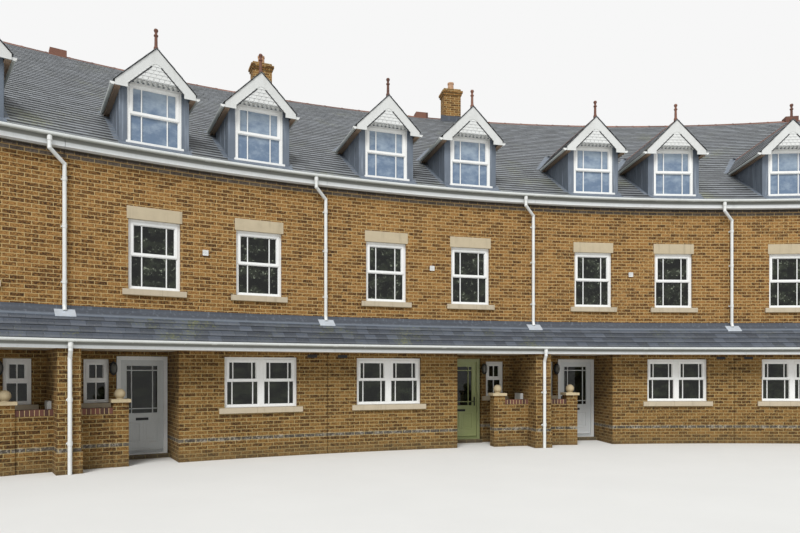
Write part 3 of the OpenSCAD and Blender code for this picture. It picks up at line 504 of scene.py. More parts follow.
def slateFinish(name, courses, vary=0.6, level=0.2, perSlate=True, tail=0.38, damp=0.03,
                shade=(0.6, 0.74, 0.93), stone="stone"):
    f = Finish(name)
    place, z = f.placeAndHeight()
    grain = f.noise(place, 60.0, 4.0, 0.65)
    cloud = f.noise(place, 0.8, 4.0, 0.6)
    fleck = f.noise(place, 22.0, 5.0, 0.75)
    tone = f.attribute("tone") if perSlate else cloud
    colour = f.ramp((tone * vary + (grain - 0.5) * 0.45 + level).held(), slateTones[stone])
    course = ((z - 0.012 - courses[0]) / courses[1]).fract()
    wet = (1 - f.step(z - courses[0], 0.2, 1.6)) * damp
    moss = f.step(fleck * 0.6 + cloud * 0.55 + wet, 0.62, 0.74)
    colour = f.mix(moss * 0.75, colour, slateTones["moss"])
    colour = f.mix(f.step(f.noise(place, 45.0, 2.0), 0.66, 0.74) * 0.5, colour, slateTones["lichen"])
    # painted highlight along the lower edge of each slate
    light = 1 - f.step(course + (fleck - 0.5) * 0.4, 0.3, 0.5)
    colour = f.mix(light * tail, colour, slateTones["tail"])
    dark = f.step(course + (grain - 0.5) * 0.08, *shade[:2])  # in the shadow of the course above
    return f.set(Base_Color=f.mix(dark * shade[2], colour, slateTones["shade"]), Roughness=0.5 + grain * 0.25,
                 Specular_IOR_Level=0.4, Normal=f.bump(grain + fleck * 0.5, 0.003, 0.6))


def paintFinish(name, colour, roughness=0.35, grime=0.25, grimeAndShadeColour="6f6a58", belly=0.0, touch=None):
    f = Finish(name)
    place, z = f.placeAndHeight()
    patches = f.noise(place, 2.2, 4.0, 0.65)
    fine = f.noise(place, 70.0, 3.0, 0.6)
    runs = f.streaks(place, 14.0, 1.2)
    dirtAndShade = (f.step(patches * 0.6 + runs * 0.4 + (fine - 0.5) * 0.2, 0.42, 0.8) * grime).held()
    tint = f.mix(f.step(fine, 0.35, 0.7), colour, shaded(colour, 0.93))
    if belly:  # painted shade under a gutter's curve, with algae
        below = f.step(f.facing()[2] * -1, 0.5, 0.97)
        dirtAndShade = dirtAndShade.most((below * belly * (0.6 + patches * 0.8)).held())
    if touch:
        tint = touch(f, z, tint)
    return f.set(Base_Color=f.mix(dirtAndShade, tint, grimeAndShadeColour), Roughness=roughness + dirtAndShade * 0.5 + fine * 0.08,
                 Normal=f.bump(fine, 0.0008, 0.15))


boards = {
    "mainShade": (5.845, 5.875), "leanShade": (2.215, 2.24), "leanOnly": (3.0, 3.1), "shade": "55554a",
    "line": "7c7e7e", "scaleFoot": 7.305, "scaleRow": 0.07, "greenHouse": 2, "green": "9ba272",
    "greenReach": (0.7, 0.71),
}


def underGutters(f, z, tint):  # painted shadow of the gutter on a fascia's upper part
    main = f.step(z, *boards["mainShade"])
    lean = f.step(z, *boards["leanShade"]) * (1 - f.step(z, *boards["leanOnly"]))
    return f.mix(main.most(lean) * 0.85, tint, boards["shade"])


def scaleShadowLines(f, z, tint):  # painted shadow under the feet of each row of scales
    inRow = ((z - boards["scaleFoot"]) / boards["scaleRow"]).fract()
    return f.mix(f.step((inRow - 0.5).size(), 0.36, 0.46) * 0.6, tint, boards["line"])


def greenFrame(f, z, tint):  # one door's frame is green too
    middle = directionAt(boards["greenHouse"], porch["doorMiddle"]) * row["radius"]
    here = 1 - f.step((arcPlace(f)[1] - middle).size(), *boards["greenReach"])
    return f.mix(here, tint, boards["green"])


stains = {
    "stoneGrain": "8f8264", "stoneRuns": "6d6350", "leadRuns": "b9c3cf", "leadSpots": "59606a",
    "leadHighlight": "76808b", "clayMoss": "5c5744",
}
ridgeTile = 0.45


def stoneFinish(name, colour):
    f = Finish(name)
    place = f.place()
    grain = f.noise(place, 160.0, 3.0, 0.7)
    patches = f.noise(place, 6.0, 4.0, 0.6)
    base = f.mix(patches, shaded(colour, 0.86), shaded(colour, 1.1))
    base = f.mix((grain - 0.4).held() * 0.5, base, stains["stoneGrain"])
    runs = f.step(f.streaks(place, 9.0, 1.0, detail=4.0), 0.5, 0.8)
    base = f.mix(runs * 0.35, base, stains["stoneRuns"])
    return f.set(Base_Color=base, Roughness=0.8 + grain * 0.1, Normal=f.bump(grain, 0.002, 0.5))


def leadFinish(name, colour, runs=0.35, highlightBelow=0.0):
    f = Finish(name)
    place, z = f.placeAndHeight()
    grain = f.noise(place, 30.0, 4.0, 0.6)
    clouds = f.noise(place, 2.6, 4.0, 0.7)
    base = f.mix(clouds, shaded(colour, 0.75), shaded(colour, 1.2))
    streaked = f.step(f.streaks(place, 16.0, 1.0, detail=4.0), 0.52, 0.72)
    base = f.mix(streaked * runs, base, stains["leadRuns"])
    base = f.mix(f.step(grain, 0.6, 0.75) * 0.25, base, stains["leadSpots"])
    if highlightBelow:  # painted highlight along the apron's lower edge
        highlighted = 1 - f.step(z + (clouds - 0.5) * 0.03, highlightBelow - 0.02, highlightBelow + 0.02)
        base = f.mix(highlighted * 0.6, base, stains["leadHighlight"])
    return f.set(Base_Color=base, Roughness=0.45 + grain * 0.2, Metallic=0.15,
                 Normal=f.bump(grain + clouds, 0.004, 0.35))


def clayFinish(name, stops):
    f = Finish(name)
    place, along = arcPlace(f)[:2]
    tile = f.add("TexWhiteNoise", {"noise_dimensions": "1D"}, {"W": (along / ridgeTile).floor()})
    grain = f.noise(place, 50.0, 4.0, 0.65)
    patches = f.noise(place, 3.5, 4.0, 0.65)
    base = f.ramp((tile * 0.45 + patches * 0.35 + grain * 0.25).held(), stops)
    base = f.mix(f.step(patches + (grain - 0.5) * 0.6, 0.6, 0.75) * 0.6, base, stains["clayMoss"])
    return f.set(Base_Color=base, Roughness=0.75 + grain * 0.15, Normal=f.bump(grain, 0.003, 0.5))


glassTones = {
    # painted reflections and shade in the glass: dark panes, green tree reflections, glints of leaves, sky
    # and cloud
    "dark": "0c0e0b", "green": "2b3024", "sky": "62748a", "cloud": "93a1ae", "glint": "a3ab95",
    "upstairs": (2.9, 3.2), "attic": (5.6, 5.9), "skyline": 6.7, "alpha": 0.88,
}


def glassFinish(name):  # painted light: the dark panes below stand in for the shade of the rooms behind, with painted tree reflections and glints; the pale blue panes above are a painted sky reflection
    f = Finish(name)
    place, z = f.placeAndHeight()
    ripple = f.noise(place, 1.8, 2.0)
    film = f.noise(place, 5.0, 4.0, 0.7)
    reflectionNoise = f.streaks(place, 1.0, 1.6, 3.2, 5.0, 0.65)
    # painted tree reflections, green streaks over the dark panes
    low = f.mix(f.step(reflectionNoise, 0.42, 0.66), glassTones["dark"], glassTones["green"])
    # painted glints of leaves on the upstairs panes
    glints = f.step(f.noise(place, 16.0, 3.0, 0.75), 0.57, 0.68) * f.step(reflectionNoise, 0.4, 0.62)
    low = f.mix(glints * f.step(z, *glassTones["upstairs"]) * 0.75, low, glassTones["glint"])
    # painted sky reflection with clouds on the attic panes
    cloudy = f.step(reflectionNoise + (z - glassTones["skyline"]) * 0.25, 0.3, 0.75)
    attic = f.step(z, *glassTones["attic"])
    return f.set(Base_Color=f.mix(attic, low, f.mix(cloudy, glassTones["sky"], glassTones["cloud"])),
                 Roughness=0.03 + film * 0.03, Alpha=(film * 0.06 + attic * 0.1 + glassTones["alpha"]).held(),
                 IOR=1.4, Normal=f.bump(ripple, 0.01, 0.12))


def darkFinish(name, colour, roughness=0.5, metallic=0.0):
    f = Finish(name)
    place = f.place()
    grain = f.noise(place, 90.0, 3.0, 0.6)
    return f.set(Base_Color=f.mix(grain, colour, shaded(colour, 1.8)), Roughness=roughness + grain * 0.15,
                 Metallic=metallic, Normal=f.bump(grain, 0.001, 0.3))


stockBrick = brickFinish("stockBrick")
bandedBrick = brickFinish("bandedBrick", band=True)
darkBrick = brickFinish("darkBrick", darkOnly=True)
chimneyBrick = brickFinish("chimneyBrick", darkTop=False)
edgeBrick = edgeFinish("edgeBrick")
slateStone = slateFinish("slateStone", slateTones["main"], 0.45, 0.22)
slateBed = slateFinish("slateBed", slateTones["main"], perSlate=False)
leanStone = slateFinish("leanStone", slateTones["lean"], 0.3, 0.2, tail=0.08, damp=0.0,
                        shade=(0.86, 0.95, 0.7), stone="leanStone")
dormerSlate = slateFinish("dormerSlate", slateTones["dormer"], 0.5, 0.1, tail=0.2, damp=0.0)
joineryPaint = paintFinish("joineryPaint", "e9e9e6", 0.3, 0.12)
framePaint = paintFinish("framePaint", "e3e4e2", 0.3, 0.15, touch=greenFrame)
boardPaint = paintFinish("boardPaint", "dcdedd", 0.4, 0.15, touch=underGutters)
bargePaint = paintFinish("bargePaint", "cdcecb", 0.4, 0.22)
scalePaint = paintFinish("scalePaint", "d3d4d1", 0.4, 0.15, touch=scaleShadowLines)
gutterPlastic = paintFinish("gutterPlastic", "e6e9e6", 0.28, 0.2, "5c5f4e", belly=0.7)
smallGutter = paintFinish("smallGutter", "dfe3df", 0.35, 0.25, "5a6056", belly=0.45)
pipePlastic = paintFinish("pipePlastic", "dddedb", 0.28, 0.25, "7d7a66")
soffitPaint = paintFinish("soffitPaint", "b9ac97", 0.5, 0.3)
paleDoorPaint = paintFinish("paleDoorPaint", "c6c9c8", 0.35, 0.1)
greenDoorPaint = paintFinish("greenDoorPaint", "a1a974", 0.35, 0.1, "6a7048")
whiteDoorPaint = paintFinish("whiteDoorPaint", "d9dcdc", 0.35, 0.1)
brownPaint = paintFinish("brownPaint", "8a7460", 0.5, 0.3)
plasterPaint = paintFinish("plasterPaint", "8b857a", 0.8, 0.1)
lampGlass = paintFinish("lampGlass", "6f6e68", 0.2, 0.3)
bathStone = stoneFinish("bathStone", "b7aa93")
castStone = stoneFinish("castStone", "bfae8c")
lintelStone = stoneFinish("lintelStone", "b5a78c")
concrete = stoneFinish("concrete", "a9a59b")
dormerLead = leadFinish("dormerLead", "626b76", 0.25)
flashingLead = leadFinish("flashingLead", "434850", 0.12, 2.815)
brightLead = leadFinish("brightLead", "b4bac0", 0.7)
ridgeClay = clayFinish("ridgeClay", {0.0: "3c2b26", 0.5: "6a4638", 1.0: "8f6350"})
potClay = clayFinish("potClay", {0.0: "7d5a42", 0.5: "b48a69", 1.0: "d6bb9e"})
windowGlass = glassFinish("windowGlass")
blackIron = darkFinish("blackIron", "17181a", 0.35, 0.4)
blackPlasticAndShadow = darkFinish("blackPlasticAndShadow", "1d1e20", 0.5)
jointGrime = darkFinish("jointGrime", "6a5d45", 0.9)
print("finishes are ready")

for material, nodes in (
        (bandedBrick, "window_walls porch_fins porch_side_walls porch_back_walls low_walls rear_walls"),
        (stockBrick, "party_walls door_heads upper_front_walls"),
        (chimneyBrick, "chimneys"),
        (darkBrick, "door_thresholds wall_copings"),
        (slateBed, "front_roofs rear_roofs lean_to_roofs dormer_roofs"),
        (ridgeClay, "ridge_tiles ridge_vents dormer_ridges"),
        (potClay, "chimney_pots"),
        (flashingLead, "lead_flashings"),
        (dormerLead, "dormer_fronts dormer_cheeks"),
        (soffitPaint, "porch_soffits"),
        (boardPaint, "fascia_boards"),
        (bargePaint, "barge_boards"),
        (framePaint, "door_frames"),
        (gutterPlastic, "gutters"),
        (smallGutter, "dormer_gutters"),
        (pipePlastic, "downpipes vent_covers meter_boxes"),
        (lintelStone, "stone_lintels"),
        (bathStone, "stone_sills"),
        (castStone, "post_caps"),
        (joineryPaint, "front_windows dormer_windows rear_windows"),
        (whiteDoorPaint, "end_doors front_door_4"),
        (paleDoorPaint, "front_door_2"),
        (greenDoorPaint, "front_door_3"),
        (windowGlass, "front_glass rear_glass door_glass_2 door_glass_3 door_glass_4 end_door_glass"),
        (blackIron, "lanterns"),
        (concrete, "ground_slabs"),
        (plasterPaint, "upper_floors")):
    dress(material, nodes.split())
print("the solids have their finishes")


# Slates: laid course by course on the unrolled roof, then bent to the arc

slates = {
    "gauge": 0.2, "lap": 0.05, "thick": 0.007, "tailLift": 0.012, "headLift": 0.003, "gap": 0.004,
    "jitter": 0.004, "roofWidth": 0.28, "leanWidth": 0.25, "dormerWidth": 0.26,
    "eaves": (-0.2, 5.99), "ridge": (7.2, 10.56), "leanEdge": (-0.79, 2.33), "leanTop": (0.0, 2.89),
    "cutBack": 0.015, "valleyGap": 0.03, "tail": 0.05,
    "least": 0.2, "dormerLeast": 0.3,       # a last course shorter than this share of the gauge is left out
}
dormer = {
    "half": 0.635, "eaves": 0.1, "ridgeZ": 7.94, "cheekBack": 1.767, "bargeFace": -0.18,
    "windows": (1.57, 3.63),
    "overEaves": 0.02, "overBarge": 0.022, "intoRoof": 0.14,
    "uneven": 0.6,      # its slates lie flatter than the main roof's
}


def slopeOf(low, high):
    return (high[1] - low[1]) / (high[0] - low[0])


roofSlope = slopeOf(slates["eaves"], slates["ridge"])
roofAngle = math.atan(roofSlope)
leanSlope = slopeOf(slates["leanEdge"], slates["leanTop"])


def roofZ(y):
    return slates["eaves"][1] + (y - slates["eaves"][0]) * roofSlope


def leanZ(y):
    return slates["leanTop"][1] + y * leanSlope


def slateCourse(x, count, pitch, foot, angle, length):  # one course of slates along x
    piece = bar(x, pitch - slates["gap"], (0, length), (0, slates["thick"]))
    for vertex in piece.data.vertices:
        vertex.co.z += slates["tailLift"] + (slates["headLift"] - slates["tailLift"]) * vertex.co.y / length
    applyModifier(piece, "ARRAY", count=count, use_relative_offset=False, use_constant_offset=True,
                  constant_offset_displace=(pitch, 0, 0))
    return moved(piece, shifted(0, *foot) @ turned(angle, "X"))


def slateField(name, low, high, width):  # courses over the whole row, breaking joint with each other
    (y0, z0), (y1, z1) = low, high
    angle = math.atan2(z1 - z0, y1 - y0)
    run = math.hypot(z1 - z0, y1 - y0)
    rows = []
    for k in range(math.ceil(run / slates["gauge"] - slates["least"])):
        along = k * slates["gauge"]
        foot = (y0 + along * math.cos(angle), z0 + along * math.sin(angle))
        count = round(2 * rowHalf * (1 + foot[0] / row["radius"]) / width)
        pitch = 2 * rowHalf / count
        odd = k % 2
        rows.append(slateCourse(-rowHalf + pitch * (0.5 - odd / 2), count + odd, pitch, foot, angle,
                                min(slates["gauge"] + slates["lap"], run - along)))
    piece = joined(name, rows)
    for vertex in piece.data.vertices:
        vertex.co.x = min(max(vertex.co.x, -rowHalf), rowHalf)
    return piece


def slatesOf(piece):  # the vertices of each slate, eight to a slate
    vertices = piece.data.vertices
    return [[vertices[v].co for v in range(first, first + 8)] for first in range(0, len(vertices), 8)]


def toneSlates(piece, uneven=1.0):  # each slate has its own tone and lies a little unevenly
    tones = piece.data.attributes.new("tone", "FLOAT", "FACE")
    values = []
    for corners in slatesOf(piece):
        lift = random.random() * slates["jitter"] * uneven
        tilt = (random.random() - 0.5) * slates["jitter"] * uneven
        low = min(c.z for c in corners) + slates["tail"]
        middle = sum(c.x for c in corners) / 8
        for corner in corners:
            if corner.z < low:
                corner.z += lift + (tilt if corner.x > middle else -tilt) * 0.5
        values += [random.random()] * 6
    tones.data.foreach_set("value", values)


dormerDirections = [directionAt(i, u) for i in allHouses for u in dormer["windows"]]


def clearDormers(piece):  # slates end at the cheeks and under the dormer roofs
    gone = set()
    margin = dormer["half"] - slates["cutBack"]
    for k, corners in enumerate(slatesOf(piece)):
        y = sum(c.y for c in corners) / 8
        scale = 1 + y / row["radius"]
        for direction in dormerDirections:
            sides = [(c.x - direction * row["radius"]) * scale for c in corners]
            low, high = min(sides), max(sides)
            if high < -1 or low > 1 or roofZ(y) > dormer["ridgeZ"]:
                continue
            if y < dormer["cheekBack"]:
                if -margin < low and high < margin:
                    gone.add(k)
                elif low < margin < high or low < -margin < high:
                    edge = margin if high > margin else -margin
                    for corner, side in zip(corners, sides):
                        if abs(side) < margin:
                            corner.x = direction * row["radius"] + edge / scale
            elif max(abs(low), abs(high)) < dormer["ridgeZ"] - roofZ(y) - slates["valleyGap"]:
                gone.add(k)
    return deleteVertices(piece, lambda vertex: vertex.index // 8 in gone)


def laid(piece, material, place=Matrix()):
    toneSlates(piece)
    return finished(bendToRow(moved(piece, place)), "slate", material)


mainRoof = (slates["eaves"], slates["ridge"], slates["roofWidth"])
laid(clearDormers(slateField("front_slates", *mainRoof)), slateStone)
laid(slateField("rear_slates", *mainRoof), slateStone,
     shifted(0, row["depth"], 0) @ Matrix.Scale(-1, 4, (0, 1, 0)))
laid(slateField("lean_to_slates", slates["leanEdge"], slates["leanTop"], slates["leanWidth"]), leanStone)
print("slates are laid")


# Dormers, each modelled once about the middle of its window

def slopeSlates():  # one 45 degree slope, its courses running back from the verge
    rows = []
    reach = dormer["half"] + dormer["eaves"] + dormer["overEaves"]
    start = dormer["bargeFace"] - dormer["overBarge"]
    pitch = slates["dormerWidth"]
    run = reach * math.sqrt(2)
    for k in range(math.ceil(run / slates["gauge"] - slates["dormerLeast"])):
        along = k * slates["gauge"]
        side = reach - along / math.sqrt(2)
        z = dormer["ridgeZ"] - side
        back = (z + dormer["intoRoof"] - roofZ(0)) / roofSlope
        odd = k % 2
        count = max(1, round((back - start) / pitch)) + odd
        course = slateCourse(start + pitch * (0.5 - odd / 2), count, pitch, (0, 0), 0,
                             min(slates["gauge"] + slates["lap"], run - along))
        for vertex in course.data.vertices:
            vertex.co.x = max(vertex.co.x, start)
        rows.append(moved(course, shifted(side, 0, z) @ turned(math.pi / 2, "Z") @ turned(math.pi / 4, "X")))
    return joined("slope", rows)


slopes = [slopeSlates(), moved(slopeSlates(), mirrorX)]
for slope in slopes:
    toneSlates(slope, dormer["uneven"])
atDormers = [standAt(direction) for direction in dormerDirections]
fit("dormer_slates", joined("slopes", slopes), atDormers, "slate", dormerSlate)
print("dormer slates are laid")


# Sashes and glazing bars, each window modelled once in the plane of its wall

sash = {
    "proud": (0.05, 0.094), "barDepth": (0.074, 0.0945), "bar": 0.022, "stile": 0.042, "lap": 0.012,
    "frame": 0.055, "bevel": 0.004, "bead": 0.012, "mullion": 0.06,
    # from the rail down to the sash's foot and the pane's top, and up to the upper light's foot
    "meeting": (0.018, 0.02, 0.024), "pairMeeting": (0.02, 0.018, 0.022),
    "drip": ((0.034, 0.066), (0.004, 0.03)),
}
windows = {     # width, foot and height
    "upper": (0.96, 3.34, 1.34), "ground": (1.51, 1.03, 1.03), "porch": (0.46, 1.15, 0.86),
    "dormer": (1.0, 6.11, 1.18), "rear": (0.96, 0.9, 1.18), "groundMiddle": 3.63, "porchMiddle": 0.65,
    "rearShare": 0.27, "dormerForward": 0.04, "dormerSill": ((-0.53, 0.53), (-0.04, 0.052), (6.094, 6.142)),
    "columns": (0.262, 0.738), "lowColumns": (0.17, 0.83), "highColumns": (0.15, 0.85), "pairSplit": 0.54,
    "porchSplit": 0.53,
}


def lightBars(middle, width, low, high, shares):  # upright bars over one light, with a bead round it
    made = [ring(width, (low, high), sash["bead"], sash["barDepth"], middle)]
    for share in shares:
        x = middle + (share - 0.5) * width
        made.append(bar(x, sash["bar"], sash["barDepth"], (low, high), sash["bevel"]))
    return made


def lights(middle, width, foot, height, split, meeting, lowShares, highShares):  # a pane with a sash over it
    low, high, rail = foot + sash["frame"], foot + height - sash["frame"], foot + height * split
    sashFoot, paneTop, lightFoot = meeting
    made = [ring(width + 2 * sash["lap"], (rail - sashFoot, high + sash["lap"]), sash["stile"] + sash["lap"],
                 sash["proud"], middle, sash["bevel"])]
    made += lightBars(middle, width, low, rail - paneTop, lowShares)
    return made + lightBars(middle, width - 2 * sash["stile"], rail + lightFoot, high - sash["stile"],
                            highShares)


def drip(width, foot):  # the weatherboard along a window's foot
    y, (low, high) = sash["drip"]
    return bar(0, width - 2 * low, y, (foot + low, foot + high), 0.005)


def sashWindow(width, foot, height, split=0.5, columns=windows["columns"]):  # a top light over a fixed pane
    inner = width - 2 * sash["frame"]
    lowShares, highShares = ([0.5 + (share - 0.5) * width / light for share in columns]
                             for light in (inner, inner - 2 * sash["stile"]))
    return joined("sash", [*lights(0, inner, foot, height, split, sash["meeting"], lowShares, highShares),
                           drip(width, foot)])


def pairWindow(width, foot, height):  # two lights, each a three-pane top over three panes
    light = width / 2 - sash["frame"] - sash["mullion"]
    made = [drip(width, foot)]
    for side in (-1, 1):
        made += lights(side * (sash["mullion"] + light / 2), light, foot, height, windows["pairSplit"],
                       sash["pairMeeting"], windows["lowColumns"], windows["highColumns"])
    return joined("pair", made)


rearPlaces = [standBehind(partyLine(i + share)) for i in allHouses
              for share in (windows["rearShare"], 1 - windows["rearShare"])]
windowWall = [standAt(directionAt(i, windows["groundMiddle"]), porch["windowWall"]) for i in allHouses]
porchPlaces = [standAt(directionAt(i, windows["porchMiddle"]), porch["back"]) for i in allHouses]
dormerFaces = [standAt(direction, -windows["dormerForward"]) for direction in dormerDirections]
dormerSash = joined("sash", [sashWindow(*windows["dormer"]), block(*windows["dormerSill"], 0.006)])
for name, model, places in (
        ("upper_sashes", sashWindow(*windows["upper"]), atDormers + rearPlaces),
        ("rear_sashes", sashWindow(*windows["rear"]), rearPlaces),
        ("dormer_sashes", dormerSash, dormerFaces),
        ("porch_sashes", sashWindow(*windows["porch"], windows["porchSplit"], (0.5,)), porchPlaces),
        ("ground_lights", pairWindow(*windows["ground"]), windowWall)):
    fit(name, model, places, "white_joinery", joineryPaint)
print("windows have their bars")


# Doors, modelled with the hinge side at +X and the frame's outer face at y = 0

door = {
    "leaf": 0.841, "leafLow": 0.03, "leafY": 0.056, "leafThick": 0.044, "glass": (0.617, 0.83, 1.821),
    "reveal": 0.05, "margin": 0.105, "bar": 0.02, "panels": (0.16825, 0.2805, 0.254, 0.651), "field": 0.055,
    "bead": 0.026, "moulding": 0.03, "drip": (0.02, 0.04, 0.085, 0.032),
    "handle": (-0.3645, 0.942), "plate": (0.034, 0.11), "neck": (0.012, 0.046),
    "lever": (0.113, 0.023, 0.045),
    "lock": (0.011, 0.075), "letter": (0.24, 0.6956, 0.05), "roundGlass": 0.012, "roundPanel": 0.01,
    # proud of the leaf's face, and sunk in it
    "glassTrim": (0.006, 0.021), "panelTrim": (0.005, 0.012), "fieldTrim": (-0.004, 0.011),
}
doorBodies = ["row", "door_2", "door_3", "door_4", "row"]
doorPaints = [whiteDoorPaint, paleDoorPaint, greenDoorPaint, whiteDoorPaint, whiteDoorPaint]
doorSlots = ["white_joinery", "door_pale", "door_green", "door_pale", "white_joinery"]


def leafFaces(proud, sunk):  # from proud of the leaf to sunk in it, on its front and on its back
    front, back = door["leafY"], door["leafY"] + door["leafThick"]
    return (front - proud, front + sunk), (back - sunk, back + proud)


def doorTrim():  # beads and margin bars round the glass, and mouldings on the lower panels
    width, low, high = door["glass"]
    made = []
    for y in leafFaces(*door["glassTrim"]):
        within = (y[0] + 0.004, y[1] - 0.002)
        grown = door["roundGlass"]
        made.append(ring(width + 2 * grown, (low - grown, high + grown), door["bead"], y, bevel=0.004))
        for x in (-1, 1):
            made.append(bar(x * (width / 2 - door["margin"]), door["bar"], within, (low, high), 0.003))
        for z in (low + door["margin"], high - door["margin"]):
            made.append(bar(0, width, within, (z - door["bar"] / 2, z + door["bar"] / 2), 0.003))
    middle, panel, low, high = door["panels"]
    grown = door["roundPanel"]
    for x in (-middle, middle):
        made += [ring(panel + 2 * grown, (low - grown, high + grown), door["moulding"], y, x, 0.004)
                 for y in leafFaces(*door["panelTrim"])]
        made += [bar(x, panel - 2 * door["field"], y, (low + door["field"], high - door["field"]), 0.003)
                 for y in leafFaces(*door["fieldTrim"])]
    inset, low, high, out = door["drip"]
    made.append(bar(0, door["leaf"] - 2 * inset, (door["leafY"] - out, door["leafY"] + 0.004),
                    (door["leafLow"] + low, door["leafLow"] + high), 0.012))
    return joined("trim", made)


def doorFittings():  # a black lever on its plate, a letter plate and the lock's rim
    x, z = door["handle"]
    front = door["leafY"]
    plate, reach = door["plate"]
    radius, neck = door["neck"]
    lever, thick, out = door["lever"]
    lock, drop = door["lock"]
    width, low, high = door["letter"][0], door["letter"][1], door["letter"][1] + door["letter"][2]
    return joined("fittings", [
        bar(x, plate, (front - 0.006, front + 0.002), (z - reach, z + reach), 0.003),
        tube(radius, front - neck, front + 0.001, "Y", (x, 0, z)),
        block((x - thick / 2, x - thick / 2 + lever), (front - out - thick / 2, front - out + thick / 2),
              (z - thick / 2, z + thick / 2), 0.005),
        tube(lock, front - 0.01, front + 0.001, "Y", (x, 0, z - drop), 12),
        ring(width + 0.004, (low - 0.002, high + 0.002), 0.012, (front - 0.009, front), bevel=0.002),
        bar(0, width - 0.016, (front - 0.0075, front), (low + 0.008, high - 0.008), 0.002),
    ])


for i in allHouses:
    place = [porchPlace(i, porch["doorMiddle"], porch["back"] + door["reveal"], porch["floor"])]
    fit("door_trim_%d" % (i + 1), doorTrim(), place, doorSlots[i], doorPaints[i], body=doorBodies[i])
    fit("door_fittings_%d" % (i + 1), doorFittings(), place, "black_metal", blackIron, body=doorBodies[i],
        smooth=40)
print("doors are trimmed")


# Leadwork and ridge joints along the whole row

leadwork = {
    "up": 0.077, "down": 0.18, "thick": 0.006, "overSlates": 0.021, "lapEvery": 1.265, "lap": 0.1,
    "tuck": 0.004, "turn": (0.012, 0.02), "panel": 0.35,
}
ridge = {"y": 7.2, "z": 10.56, "leg": 0.17, "thick": 0.025, "collar": 0.055, "proud": 0.008, "lip": 0.03,
         "fromEnd": 0.03}


def flashing(x, raised):  # an upturn on the wall and an apron dressed over the slates
    over, tuck, down = leadwork["overSlates"] + raised, leadwork["tuck"], leadwork["down"]
    rise, out = leadwork["turn"]
    profile = [(-tuck - raised, leanZ(0) + leadwork["up"]), (-tuck - raised, leanZ(0) + over + rise),
               (-out, leanZ(-out) + over), (-down, leanZ(-down) + over - 0.002),
               (-down - tuck, leanZ(-down) + tuck)]
    return strip(profile, x, max(2, round((x[1] - x[0]) / leadwork["panel"])), -leadwork["thick"])


def leadRun():
    count = round(2 * rowHalf / leadwork["lapEvery"])
    pitch = 2 * rowHalf / count
    made = []
    for k in range(count):  # every other piece lies over its neighbours
        low = -rowHalf + k * pitch
        lap = leadwork["lap"] if k < count - 1 else 0
        made.append(flashing((low, low + pitch + lap), leadwork["tuck"] * (k % 2)))
    return joined("lead_flashing", made)


def ridgeCollar():  # the lapped joint between two ridge tiles
    up = ridge["thick"] + ridge["proud"]
    reach = ridge["leg"] + 0.004
    foot = up - ridge["leg"] * roofSlope
    tip = foot - ridge["lip"]
    profile = [(-reach, tip), (-reach, foot), (0, up), (reach, foot), (reach, tip)]
    return strip(profile, (-ridge["collar"] / 2, ridge["collar"] / 2), 1, -0.012)


def collarPlaces():
    count = round(2 * rowHalf / ridgeTile)
    shares = [2 * k / count - 1 for k in range(count + 1)]
    reach = [share * (rowHalf - ridge["fromEnd"] if abs(share) == 1 else rowHalf) for share in shares]
    return [standAt(along / row["radius"], ridge["y"], ridge["z"]) for along in reach]


finished(bendToRow(leadRun()), "lead", flashingLead, replaced=["lead_flashings"], smooth=30)
fit("ridge_collars", ridgeCollar(), collarPlaces(), "clay", ridgeClay, smooth=30)
print("ridge and leadwork are in place")


# Dormer gables: fish-scale boards with painted shadow lines, dentils, and verge lines that are a painted
# shadow strip and an undercloak, then leadwork round the cheeks

gable = {
    "panelY": -0.167, "foot": 7.302, "scale": 0.1, "row": 0.07, "thick": 0.007, "inner": 0.512,
    "bargeUp": 0.24, "arch": 0.1, "dentils": 11, "dentil": (0.052, 0.029, 0.35),
    "flatBoard": ((-0.172, -0.158), (-0.006, 0.03)),
    "bead": ((-0.1835, -0.178), (-0.008, 0.012)),
    "footBead": ((0.512, 0.735), (-0.1835, -0.178), (7.098, 7.116)),
    # gap: a dark strip that stands in for the shadow inside the barge boards
    "gap": ((-0.1785, -0.168), (-0.031, -0.008)),
    "undercloak": ((-0.312, 0.726), (-0.186, -0.15), (0.166, 0.189)),
    "soffit": ((0.636, 0.731), (7.088, 7.104)), "fascia": ((0.722, 0.7365), (7.084, 7.128)),
    "eavesFrom": -0.149, "eavesShort": 0.2, "between": 0.003, "tip": 0.004, "dentilY": (-0.13, -0.01),
    "least": 0.05, "under": 0.09,
}
bargeFoot = gable["inner"] - gable["arch"]
bargeTop = dormer["ridgeZ"] - gable["bargeUp"] - gable["arch"]
bargeSlope = shifted(gable["arch"], 0, bargeTop) @ turned(math.pi / 4, "Y")


def scaleBoard(x, z):  # a board whose foot is cut to a half round
    half = gable["scale"] / 2 - gable["between"]
    deselect()
    bpy.ops.mesh.primitive_circle_add(vertices=12, radius=half, fill_type="NGON",
                                      rotation=(math.pi / 2, 0, 0))
    piece = applyPlace(bpy.context.object)
    for vertex in piece.data.vertices:
        if vertex.co.z > 1e-4:
            vertex.co.z = gable["row"]
            vertex.co.x = math.copysign(half, vertex.co.x) if abs(vertex.co.x) > 0.01 else 0
    applyModifier(piece, "SOLIDIFY", thickness=gable["thick"], offset=0)
    for vertex in piece.data.vertices:  # its foot stands over the row below
        vertex.co.y -= gable["tip"] * (1 - vertex.co.z / gable["row"])
    return moved(piece, shifted(x, gable["panelY"], z))


def fishScales():
    made = []
    top = dormer["ridgeZ"] - gable["bargeUp"] + gable["under"]
    z = gable["foot"] + gable["scale"] / 2
    odd = 0
    while top - z >= gable["least"]:
        reach = min(gable["inner"], top - z)
        count = int(reach / gable["scale"]) + 1
        places = [(j + odd * 0.5) * gable["scale"] for j in range(-count, count + 1)]
        made += [scaleBoard(x, z) for x in places if abs(x) < reach]
        z += gable["row"]
        odd = 1 - odd
    return made


